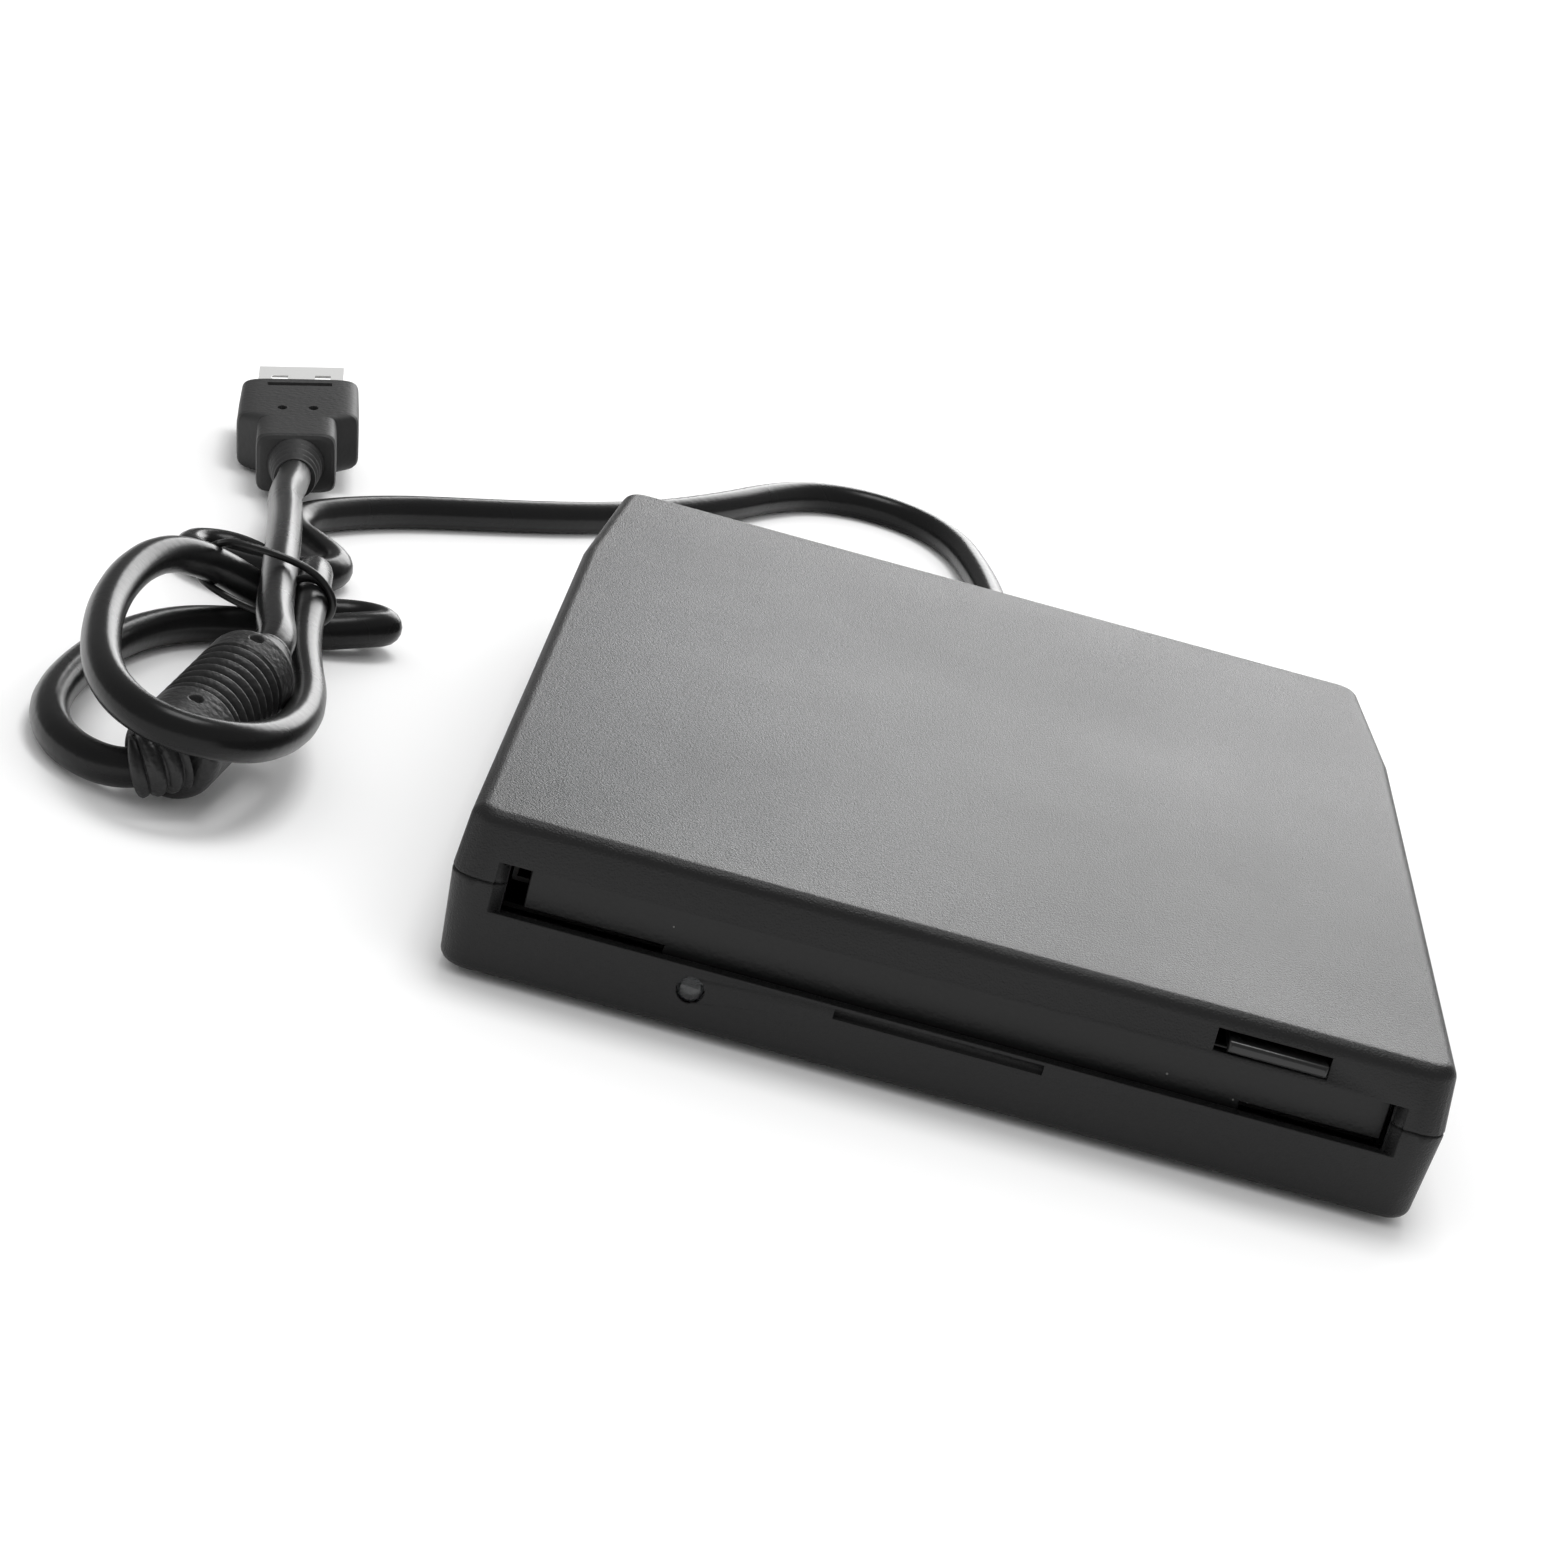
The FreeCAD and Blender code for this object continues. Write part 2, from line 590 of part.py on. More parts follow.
# Chassis: pressed steel tray with side walls, motor opening, screw holes and pin slots
chassis_floor = block(("-" + WALL_OUT, WALL_OUT), (CHASSIS_FRONT, CHASSIS_BACK),
                      (CHASSIS_LOW, CHASSIS_TOP))
chassis_adds = []
chassis_cuts = [rod("z", ("0", HUB_Y), "motor_opening", CHASSIS_LOW + " - 1", CHASSIS_TOP + " + 1")]
for x, y in CHASSIS_SCREWS:
    chassis_cuts.append(rod("z", (x, y), "screw_radius + rod_gap", CHASSIS_LOW + " - 1",
                            CHASSIS_TOP + " + 1"))
CAM_Y = [FRONT + " + cam_pin_front", DISK_BACK + " - cam_pin_behind"]
for sign, side in SIDES:
    chassis_adds.append(block(mirror_x((WALL_IN, WALL_OUT), sign),
                              (SLIDER_FRONT, CHASSIS_BACK + " - 2"), (CHASSIS_LOW, "chassis_wall_top")))
    for place in CAM_Y:
        chassis_cuts.append(block(mirror_x((WALL_IN + " - 1", WALL_OUT + " + 1"), sign),
                                  (place + " - cam_pin_radius - 0.1", place + " + cam_pin_radius + 0.1"),
                                  ("cam_pin_height - holder_drop - cam_pin_radius - slide_gap",
                                   "cam_pin_height + cam_pin_radius + slide_gap")))
node("chassis", remove(join(chassis_floor, *chassis_adds), *chassis_cuts))
chassis_screws = []
for x, y in CHASSIS_SCREWS:
    chassis_screws.append(join(rod("z", (x, y), "screw_radius", "foot_lift + case_wall / 2 + 0.2",
                                   CHASSIS_TOP),
                               rod("z", (x, y), "screw_head_radius", CHASSIS_TOP,
                                   CHASSIS_TOP + " + 0.8")))

# Disk holder: folded steel channel that the disk slides into, with head window and hub opening
HOLDER_FRONT = "(%s - 1.5)" % SLIDER_FRONT
HOLDER_BACK = "(%s + 3)" % DISK_BACK
holder_top = block(("-" + HOLDER_HALF, HOLDER_HALF), (HOLDER_FRONT, HOLDER_BACK),
                   ("bay_low + bay_height", HOLDER_TOP))
holder_parts = [holder_top]
for sign, side in SIDES:
    holder_parts.append(block(mirror_x((BAY_HALF, HOLDER_HALF), sign), (HOLDER_FRONT, HOLDER_BACK),
                              ("bay_low - holder_sheet", HOLDER_TOP)))
    holder_parts.append(block(mirror_x((BAY_HALF + " - holder_lip", HOLDER_HALF), sign),
                              (HOLDER_FRONT, HOLDER_BACK), ("bay_low - holder_sheet", "bay_low")))
    holder_parts.append(block(mirror_x(("screw_x + 2.5", "screw_x + 10.5"), sign),
                              (DISK_BACK + " + 0.6", DISK_BACK + " + 1.1"),
                              ("bay_low + 1", HOLDER_TOP)))
LEVER_Y = "(%s + lever_behind)" % HUB_Y
window = block(("-arm_half_width - 3", "arm_half_width + 3"),
               (HEAD_Y + " - track_travel - 5", HOLDER_BACK + " + 1"),
               ("bay_low + bay_height - 1", HOLDER_TOP + " + 1"))
hub_opening = rod("z", ("0", HUB_Y), "13", "bay_low + bay_height - 1", HOLDER_TOP + " + 1")


def lever_arc():
    """The lever pin's sweep through the holder's roof, as overlapping short steps."""
    steps = []
    count = 12
    for index in range(count + 1):
        angle = "(lever_start + lever_angle * %d / %d)" % (index, count)
        steps.append(rod("z", (LEVER_X + " + lever_length * cos(%s * 1deg)" % angle,
                               LEVER_Y + " + lever_length * sin(%s * 1deg)" % angle),
                         "lever_pin_radius + 0.7", "bay_low + bay_height - 1", HOLDER_TOP + " + 1"))
    return steps


node("disk_holder", remove(join(*holder_parts), window, hub_opening, *lever_arc()))

# Cam pins: riveted in the holder's sides, through the slider's slots into the chassis
cam_pins = []
for sign, side in SIDES:
    for place in CAM_Y:
        cam_pins.append(rod("x", (place, "cam_pin_height"), "cam_pin_radius",
                            *mirror_x((HOLDER_HALF, WALL_OUT + " - 0.2"), sign)))

# Slider: U-shaped steel plate whose side flanges carry the sloping cam slots and button arm
SLIDER_BACK = "(%s + slider_behind)" % DISK_BACK
RIVET_Y = (FRONT + " + rivet_front", DISK_BACK + " - rivet_behind")
slider_parts = [block(("-" + FLANGE_OUT, FLANGE_OUT), (SLIDER_FRONT, SLIDER_FRONT + " + 8"),
                      (SLIDER_LOW, SLIDER_TOP))]
slider_cuts = []
SLOT_R = "(cam_pin_radius + 0.2)"
CAM_SLOPE = "atan(holder_drop / button_travel)"
for sign, side in SIDES:
    slider_parts.append(block(mirror_x((FLANGE_OUT + " - rail_width", FLANGE_OUT), sign),
                              (SLIDER_FRONT, SLIDER_BACK), (SLIDER_LOW, SLIDER_TOP)))
    slider_parts.append(block(mirror_x((FLANGE_IN, FLANGE_OUT), sign), (SLIDER_FRONT, SLIDER_BACK),
                              (SLIDER_LOW, "cam_pin_height + 2")))
    for place in CAM_Y:
        span = mirror_x((FLANGE_IN + " - 0.2", FLANGE_OUT + " + 0.2"), sign)
        slope = block(span, ("0", "sqrt(button_travel ^ 2 + holder_drop ^ 2)"),
                      ("0", "2 * " + SLOT_R))
        slope.Placement = FreeCAD.Placement(FreeCAD.Vector(),
                                            FreeCAD.Rotation(FreeCAD.Vector(1, 0, 0), -20))
        tie(slope, Placement__Rotation__Angle="360deg - " + CAM_SLOPE,
            Placement__Base__x=span[0],
            Placement__Base__y=place + " - %s * sin(%s)" % (SLOT_R, CAM_SLOPE),
            Placement__Base__z="cam_pin_height - %s * cos(%s)" % (SLOT_R, CAM_SLOPE))
        slope.Placement.Rotation.Axis = FreeCAD.Vector(1, 0, 0)
        slider_cuts.append(slope)
        slider_cuts.append(rod("x", (place, "cam_pin_height"), SLOT_R, *span))
        slider_cuts.append(rod("x", (place + " + button_travel", "cam_pin_height - holder_drop"),
                               SLOT_R, *span))
    for place in RIVET_Y:
        slider_cuts.append(block((sign + RIVET_X + " - rivet_radius - rod_gap",
                                  sign + RIVET_X + " + rivet_radius + rod_gap"),
                                 (place + " - rivet_radius - rod_gap",
                                  place + " + rivet_radius + rod_gap + button_travel"),
                                 (SLIDER_LOW + " - 1", SLIDER_TOP + " + 1")))
    slider_parts.append(block(mirror_x((SPRING_X + " + 1.6", FLANGE_OUT + " - rail_width + 0.4"), sign),
                              (FRONT + " + rivet_front - 1.5", FRONT + " + rivet_front + 0.5"),
                              (SLIDER_LOW, SLIDER_TOP)))
TAB_LOW = "(%s + 0.4)" % BUTTON_LOW
TAB_TOP = "(%s + 0.4 + slider_sheet)" % BUTTON_LOW
arm_up = block((FLANGE_IN, FLANGE_OUT), (SLIDER_FRONT, SLIDER_FRONT + " + 8"), (SLIDER_LOW, TAB_TOP))
arm_over = block((BUTTON_LEFT + " + 1", FLANGE_OUT), (SLIDER_FRONT, SLIDER_FRONT + " + 8"),
                 (TAB_LOW, TAB_TOP))
TONGUE = ((BUTTON_LEFT + " + 1", BUTTON_RIGHT + " - 1"), (SLIDER_FRONT + " - 8", SLIDER_FRONT),
          (TAB_LOW, TAB_TOP))
node("slider", remove(join(*slider_parts, arm_up, arm_over, block(*TONGUE)), *slider_cuts))

# Eject button: moulded bar pushed onto the slider's tongue
BUTTON_FRONT = "(-case_depth / 2 - button_proud)"
button = block((BUTTON_LEFT, BUTTON_RIGHT), (BUTTON_FRONT, BUTTON_FRONT + " + button_length"),
               (BUTTON_LOW, BUTTON_TOP))
doc.recompute()
button_soft = doc.addObject("Part::Fillet", fresh("soft"))
button_soft.Base = button
button_soft.Edges = [(number, 0.45, 0.45) for number, edge in enumerate(button.Shape.Edges, 1)
                     if all(abs(v.Point.y - value(BUTTON_FRONT)) < 1e-4 for v in edge.Vertexes)]
node("eject_button", remove(button_soft, block(*TONGUE)))

# Shoulder rivets: fixed in the chassis, they guide the slider's slots
rivets = []
for sign, side in SIDES:
    for place in RIVET_Y:
        spot = (sign + RIVET_X, place)
        rivets.append(join(rod("z", spot, "rivet_radius", CHASSIS_TOP, SLIDER_TOP + " + 0.2"),
                           rod("z", spot, "rivet_head", SLIDER_TOP + " + 0.2", SLIDER_TOP + " + 0.7")))

# Eject springs: two tension coils beside the rails, with their anchor posts on the chassis
EJECT_WIRE = 0.2
EJECT_MEAN = 1.15
SPRING_Z = value(SLIDER_LOW) + EJECT_MEAN + EJECT_WIRE
SPRING_Y = FRONT + " + spring_front"
node("eject_springs", group(*[coil(FreeCAD.Vector(value(sign + SPRING_X), value(SPRING_Y), SPRING_Z),
                                   FreeCAD.Vector(0, 1, 0), EJECT_MEAN, EJECT_WIRE, 18, 1.0)
                              for sign, side in SIDES]))
anchors = []
for sign, side in SIDES:
    spot = (sign + SPRING_X, SPRING_Y + " - 1.2")
    anchors.append(join(rod("z", spot, "0.6", CHASSIS_TOP, CHASSIS_TOP + " + 3"),
                        rod("z", spot, "1", CHASSIS_TOP + " + 2.6", CHASSIS_TOP + " + 3")))
node("chassis_rivets", group(*rivets, *anchors))

# Spindle motor: board under the chassis, bearing, stator with nine coils, magnet rotor and shaft
HUB = ("0", HUB_Y)
MOTOR_BOARD_LOW = "(%s - board_sheet)" % CHASSIS_LOW
BEARING_TOP = "(rotor_top - rotor_sheet - 0.15)"
node("motor_board", remove(rod("z", HUB, "motor_opening + 2.5", MOTOR_BOARD_LOW, CHASSIS_LOW),
                           rod("z", HUB, "shaft_radius + bearing_wall", MOTOR_BOARD_LOW + " - 1",
                               CHASSIS_LOW + " + 1")))
node("spindle_bearing", tube("z", HUB, "shaft_radius + bearing_wall", "shaft_radius + shaft_gap",
                             MOTOR_BOARD_LOW, BEARING_TOP))
STATOR_LOW = CHASSIS_LOW
STATOR_TOP = "(%s + stator_height)" % CHASSIS_LOW
core = [tube("z", HUB, "shaft_radius + bearing_wall + 2.2", "shaft_radius + bearing_wall",
             STATOR_LOW, STATOR_TOP)]
windings = []
TEETH = 9
for index in range(TEETH):
    angle = 360.0 * index / TEETH
    turn = FreeCAD.Rotation(FreeCAD.Vector(0, 0, 1), angle)
    tooth = doc.addObject("Part::Box", fresh("tooth"))
    tie(tooth, Length="stator_radius - 4", Width="1.4", Height="stator_height - 1")
    tooth.Placement = FreeCAD.Placement(FreeCAD.Vector(), turn)
    tie(tooth, Placement__Base__x="4 * cos(%s * 1deg) + 0.7 * sin(%s * 1deg)" % (angle, angle),
        Placement__Base__y=HUB_Y + " + 4 * sin(%s * 1deg) - 0.7 * cos(%s * 1deg)" % (angle, angle),
        Placement__Base__z=STATOR_LOW + " + 0.5")
    core.append(tooth)
    sleeve = doc.addObject("Part::Box", fresh("winding"))
    tie(sleeve, Length="stator_radius - 9.5", Width="3", Height="stator_height")
    sleeve.Placement = FreeCAD.Placement(FreeCAD.Vector(), turn)
    tie(sleeve, Placement__Base__x="7.6 * cos(%s * 1deg) + 1.5 * sin(%s * 1deg)" % (angle, angle),
        Placement__Base__y=HUB_Y + " + 7.6 * sin(%s * 1deg) - 1.5 * cos(%s * 1deg)" % (angle, angle),
        Placement__Base__z=STATOR_LOW)
    windings.append(remove(sleeve, tooth))
node("stator_core", join(*core))
node("stator_coils", group(*windings))
ROTOR_LOW = "(rotor_top - rotor_skirt)"
cup = remove(rod("z", HUB, "rotor_radius", ROTOR_LOW, "rotor_top"),
             rod("z", HUB, "rotor_radius - rotor_sheet", ROTOR_LOW + " - 1", "rotor_top - rotor_sheet"),
             rod("z", HUB, "shaft_radius", ROTOR_LOW, "rotor_top + 1"))
node("spindle_rotor", cup)
node("rotor_magnet", tube("z", HUB, "rotor_radius - rotor_sheet",
                          "rotor_radius - rotor_sheet - magnet_sheet", ROTOR_LOW,
                          "rotor_top - rotor_sheet"))
node("spindle_shaft", join(rod("z", HUB, "shaft_radius", MOTOR_BOARD_LOW + " + 0.1", "rotor_top + 0.6"),
                           rod("z", HUB, "shaft_radius", "rotor_top + 0.6", "rotor_top + 1.1",
                               "shaft_radius - 0.4")))
node("chuck_magnet", tube("z", HUB, "9", "5", "rotor_top", "rotor_top + 0.4"))
node("drive_pin", rod("z", ("11", HUB_Y), "0.9", "rotor_top", "rotor_top + 1.2"))

# Guide rods and their clamps on the chassis
ROD_FRONT = "(%s + rod_front)" % HUB_Y
ROD_BACK = "(%s + rod_front + rod_length)" % HUB_Y
guides = []
clamps = []
for sign, side in SIDES:
    spot = (sign + "rod_x", "rod_height")
    guides.append(rod("y", spot, "rod_radius", ROD_FRONT, ROD_BACK))
    for low, high in ((ROD_FRONT, ROD_FRONT + " + clamp_length"),
                      (ROD_BACK + " - clamp_length", ROD_BACK)):
        clamps.append(remove(block((sign + "rod_x - 1.6", sign + "rod_x + 1.6"), (low, high),
                                   (CHASSIS_TOP, "rod_height + rod_radius + 0.35")),
                             rod("y", spot, "rod_radius + rod_gap / 2", low + " - 1", high + " + 1")))
node("guide_rods", group(*guides))
node("rod_clamps", group(*clamps))

# Head carriage: moulded sled on the two rods, with hinge ears and the lower head's seat
SLED_TOP = "(rod_height + rod_radius + 0.35)"
nose = block(("-arm_half_width", "arm_half_width"), (HEAD_Y + " - 5", HINGE_Y + " + 3"),
             ("carriage_low", SLED_TOP))
wings = block(("-rod_x - 2", "rod_x + 2"), (HEAD_Y + " + 4", HINGE_Y + " + 3"),
              ("carriage_low", SLED_TOP))
rear_post = block(("-arm_half_width + 1", "arm_half_width - 1"), (HINGE_Y + " - 2.5", HINGE_Y + " + 3"),
                  ("carriage_low", "arm_hinge_height - 2"))
hinge_ears = []
for sign, side in SIDES:
    hinge_ears.append(block(mirror_x(("arm_half_width + 0.3", "arm_half_width + 2"), sign),
                            (HINGE_Y + " - 2", HINGE_Y + " + 2"),
                            ("carriage_low", "arm_hinge_height + 1.4")))
nut_arm = block(("arm_half_width", "screw_x + 1.8"), (HINGE_Y + " + 1", HINGE_Y + " + 3"),
                ("carriage_low", "lead_height - lead_radius - 0.6"))
head_seat = block(("-head_half - 0.6", "head_half + 0.6"), (HEAD_Y + " - 2.6", HEAD_Y + " + 2.6"),
                  (SLED_TOP, "head_low - 1"))
rod_bores = [rod("y", (sign + "rod_x", "rod_height"), "rod_radius + rod_gap", HEAD_Y,
                 HINGE_Y + " + 5") for sign, side in SIDES]
hinge_bore = rod("x", (HINGE_Y, "arm_hinge_height"), "0.7", "-arm_half_width - 3",
                 "arm_half_width + 3")
node("head_carriage", remove(join(nose, wings, rear_post, *hinge_ears, nut_arm, head_seat), *rod_bores,
                             hinge_bore))
node("lower_head", block(("-head_half", "head_half"), (HEAD_Y + " - 2", HEAD_Y + " + 2"),
                         ("head_low - 1", "head_low")))
node("arm_hinge_pin", rod("x", (HINGE_Y, "arm_hinge_height"), "0.7", "-arm_half_width - 2",
                          "arm_half_width + 2"))
follower = remove(block(("screw_x - 1.8", "screw_x + 1.8"), (HINGE_Y + " + 1", HINGE_Y + " + 3"),
                        ("lead_height - lead_radius - 0.6", "lead_height + lead_radius + 0.6")),
                  rod("y", ("screw_x", "lead_height"), "lead_radius + rod_gap", HINGE_Y,
                      HINGE_Y + " + 4"))
node("screw_follower", follower)

# Upper head arm: made flat as when loaded, then raised about its hinge to the rest position
arm_plate = block(("-arm_half_width", "arm_half_width"), (HEAD_Y + " - 3", HINGE_Y),
                  ("arm_hinge_height - 0.2", "arm_hinge_height - 0.2 + arm_sheet"))
arm_knuckle = rod("x", (HINGE_Y, "arm_hinge_height"), "1.3", "-arm_half_width", "arm_half_width")
arm_bore = rod("x", (HINGE_Y, "arm_hinge_height"), "0.7 + rod_gap", "-arm_half_width - 1",
               "arm_half_width + 1")
arm_loaded = remove(join(arm_plate, arm_knuckle), arm_bore)
pad_loaded = block(("-head_half", "head_half"), (HEAD_Y + " - 2", HEAD_Y + " + 2"),
                   ("head_low + head_gap", "arm_hinge_height - 0.2"))


def raised(obj):
    """Turn a piece about the arm's hinge by the lift angle, as it stands with no disk in."""
    lift = "(-arm_angle * 1deg)"
    obj.Placement = FreeCAD.Placement(FreeCAD.Vector(), FreeCAD.Rotation(FreeCAD.Vector(1, 0, 0), 350))
    flat_y = HINGE_Y
    flat_z = "arm_hinge_height"
    tie(obj, Placement__Rotation__Angle="(360 - arm_angle) * 1deg",
        Placement__Base__y="%s - (%s * cos(%s) - %s * sin(%s))" % (flat_y, flat_y, lift, flat_z, lift),
        Placement__Base__z="%s - (%s * sin(%s) + %s * cos(%s))" % (flat_z, flat_y, lift, flat_z, lift))
    return obj


node("upper_arm", raised(arm_loaded))
node("upper_head", raised(join(pad_loaded, block(("-head_half - 0.4", "head_half + 0.4"),
                                                 (HEAD_Y + " - 2.4", HEAD_Y + " + 2.4"),
                                                 ("arm_hinge_height - 0.7",
                                                  "arm_hinge_height - 0.2")))))

# Stepper motor, its bracket, the lead screw and the screw's front bearing
SCREW = ("screw_x", "lead_height")
BRACKET_Y = "(%s + 5.2)" % HINGE_Y
node("stepper_bracket", remove(block(("screw_x - 5.2", "screw_x + 5.2"),
                                     (BRACKET_Y + " - 0.8", BRACKET_Y),
                                     (CHASSIS_TOP, "lead_height + stepper_radius")),
                               rod("y", SCREW, "lead_radius + 0.5", BRACKET_Y + " - 2",
                                   BRACKET_Y + " + 1")))
can = join(rod("y", SCREW, "stepper_radius", BRACKET_Y, BRACKET_Y + " + stepper_length"),
           block(("screw_x - 2.5", "screw_x + 2.5"),
                 (BRACKET_Y + " + 2", BRACKET_Y + " + 5"),
                 ("lead_height + 2", "lead_height + stepper_radius + 0.8")))
node("stepper_motor", remove(can, rod("y", SCREW, "lead_radius + 0.1", BRACKET_Y + " - 1",
                                      BRACKET_Y + " + 3")))
SCREW_FRONT = "(%s + 2 - lead_length)" % BRACKET_Y
screw_bar = rod("y", SCREW, "lead_radius", SCREW_FRONT, BRACKET_Y + " + 2")
threads = []
for index in range(13):
    start = "(%s + 2.2 + %d * 1.1)" % (SCREW_FRONT, index)
    threads.append(tube("y", SCREW, "lead_radius + 1", "lead_radius - 0.2", start, start + " + 0.5"))
node("lead_screw", remove(screw_bar, *threads))
node("screw_bearing", remove(block(("screw_x - 2", "screw_x + 2"),
                                   (SCREW_FRONT + " - 0.2", SCREW_FRONT + " + 0.8"),
                                   (CHASSIS_TOP, "lead_height + lead_radius + 0.4")),
                             rod("y", SCREW, "lead_radius + rod_gap", SCREW_FRONT,
                                 SCREW_FRONT + " + 2")))

# Latch lever: swings on a stud of the holder as the disk pushes its pin
LEVER_LOW = "(%s + 0.3)" % HOLDER_TOP
LEVER_TOP = "(%s + 0.3 + lever_sheet)" % HOLDER_TOP
LEVER_SPOT = (LEVER_X, LEVER_Y)
PIN_X = "(%s + lever_length * cos(lever_start * 1deg))" % LEVER_X
PIN_Y = "(%s + lever_length * sin(lever_start * 1deg))" % LEVER_Y
bar = doc.addObject("Part::Box", fresh("bar"))
tie(bar, Length="lever_length", Width="4", Height="lever_sheet")
bar.Placement = FreeCAD.Placement(FreeCAD.Vector(), FreeCAD.Rotation(FreeCAD.Vector(0, 0, 1), 291))
tie(bar, Placement__Rotation__Angle="(360 + lever_start) * 1deg",
    Placement__Base__x=LEVER_X + " + 2 * sin(lever_start * 1deg)",
    Placement__Base__y=LEVER_Y + " - 2 * cos(lever_start * 1deg)", Placement__Base__z=LEVER_LOW)
lever = join(bar, rod("z", LEVER_SPOT, "2.6", LEVER_LOW, LEVER_TOP),
             rod("z", (PIN_X, PIN_Y), "2", LEVER_LOW, LEVER_TOP),
             rod("z", (PIN_X, PIN_Y), "lever_pin_radius", "bay_low + 1", LEVER_LOW))
node("latch_lever", remove(lever, rod("z", LEVER_SPOT, "1.2 + rod_gap", LEVER_LOW + " - 1",
                                      LEVER_TOP + " + 1")))
latch_stud = join(rod("z", LEVER_SPOT, "1.2", HOLDER_TOP, LEVER_TOP + " + 1.2"),
                  rod("z", LEVER_SPOT, "2", LEVER_TOP + " + 0.95", LEVER_TOP + " + 1.3"))
node("holder_pins", group(*cam_pins, latch_stud))
node("latch_spring", coil(FreeCAD.Vector(value(LEVER_X), value(LEVER_Y), value(LEVER_TOP) + 0.2),
                          FreeCAD.Vector(0, 0, 1), 1.6, 0.1, 2, 0.26))

# Boards: main board on standoffs, its chips, switches and sensor; bridge board at the back
MAIN_X = ("-" + DISK_HALF, "-(screw_x + 4)")
MAIN_Y = ("(%s - 25)" % CHASSIS_BACK, "(%s - 1)" % CHASSIS_BACK)
MAIN_WIDE = "(%s - screw_x - 4)" % DISK_HALF
MAIN_LOW = "(%s + 1.2)" % CHASSIS_TOP
MAIN_TOP = "(%s + 1.2 + board_sheet)" % CHASSIS_TOP
standoffs = [rod("z", (x, y), "1.5", CHASSIS_TOP, MAIN_LOW)
             for x, y in ((MAIN_X[0] + " + 2", MAIN_Y[0] + " + 2"), (MAIN_X[1] + " - 2", MAIN_Y[0] + " + 2"),
                          (MAIN_X[0] + " + 2", MAIN_Y[1] + " - 2"))]
node("board_standoffs", group(*standoffs))
node("main_board", block(MAIN_X, MAIN_Y, (MAIN_LOW, MAIN_TOP)))
CHIPS = ((0.14, 0.52, 4, 12, 1.2), (0.64, 0.9, 5, 9.5, 1.0), (0.17, 0.38, 15, 17.5, 1.4))
chips = []
for left, right, near, far, tall in CHIPS:
    chips.append(block(("%s + %s * %s" % (MAIN_X[0], left, MAIN_WIDE),
                        "%s + %s * %s" % (MAIN_X[0], right, MAIN_WIDE)),
                       ("%s + %s" % (MAIN_Y[0], near), "%s + %s" % (MAIN_Y[0], far)),
                       (MAIN_TOP, "%s + %s" % (MAIN_TOP, tall))))
node("main_chips", group(*chips))
switches = []
for x in ("-20", "16"):
    switches.append(join(block((x, x + " + 5"), (SLIDER_FRONT + " + 8.6", SLIDER_FRONT + " + 11"),
                               (CHASSIS_TOP, CHASSIS_TOP + " + 1.7")),
                         rod("z", (x + " + 2.5", SLIDER_FRONT + " + 9.8"), "0.6",
                             CHASSIS_TOP + " + 1.7", CHASSIS_TOP + " + 2.2")))
node("media_switches", group(*switches))
sensor = remove(block(("-screw_x - 2", "-screw_x + 3"), (HINGE_Y + " - 7", HINGE_Y + " - 1"),
                      (CHASSIS_TOP, CHASSIS_TOP + " + 4")),
                block(("-screw_x - 3", "-screw_x + 4"), (HINGE_Y + " - 5", HINGE_Y + " - 3"),
                      (CHASSIS_TOP + " + 1.2", CHASSIS_TOP + " + 5")))
node("track_sensor", sensor)
BOARD_TOP = "(%s + board_sheet)" % BOARD_LOW
usb_board = remove(block(("-" + BOARD_HALF, BOARD_HALF), BOARD_Y, (BOARD_LOW, BOARD_TOP)),
                   *[rod("z", (x, BACK_WALL + " - 5.4"), "screw_radius * 0.7 + rod_gap",
                         BOARD_LOW + " - 1", BOARD_TOP + " + 1") for x in BOARD_SCREWS])
node("usb_board", usb_board)
node("usb_chips", group(block(("-18", "-11"), (BOARD_Y[0] + " + 0.5", BOARD_Y[1] + " - 0.5"),
                              (BOARD_TOP, BOARD_TOP + " + 1.2")),
                        block(("18", "23"), (BOARD_Y[0] + " + 1.5", BOARD_Y[1] + " - 2.5"),
                              (BOARD_TOP, BOARD_TOP + " + 1"))))
crystal_y = BACK_WALL + " - 5.4"
node("crystal", join(block(("-6.8", "-2.6"), (crystal_y + " - 1.8", crystal_y + " + 1.8"),
                           (BOARD_TOP, BOARD_TOP + " + 2.4")),
                     rod("z", ("-6.8", crystal_y), "1.8", BOARD_TOP, BOARD_TOP + " + 2.4"),
                     rod("z", ("-2.6", crystal_y), "1.8", BOARD_TOP, BOARD_TOP + " + 2.4")))
node("cord_connector", block(("gland_x - 4", "gland_x + 5"), (BOARD_Y[0], BOARD_Y[0] + " + 4"),
                             (BOARD_TOP, BOARD_TOP + " + 4")))
board_screws = [join(rod("z", (x, crystal_y), "screw_radius * 0.7", FLOOR + " + 0.2",
                     BOARD_TOP),
                     rod("z", (x, crystal_y), "1.5", BOARD_TOP, BOARD_TOP + " + 0.7"))
                for x in BOARD_SCREWS]
node("inner_screws", group(*chassis_screws, *board_screws))
RIBBON_Z = "(%s + 0.5)" % MAIN_TOP
SOCKET_BACK = "(%s - 0.4)" % MAIN_Y[1]
main_socket = block((MAIN_X[1] + " - 10.5", MAIN_X[1] + " - 1"), (SOCKET_BACK + " - 3", SOCKET_BACK),
                    (MAIN_TOP, MAIN_TOP + " + 1.4"))
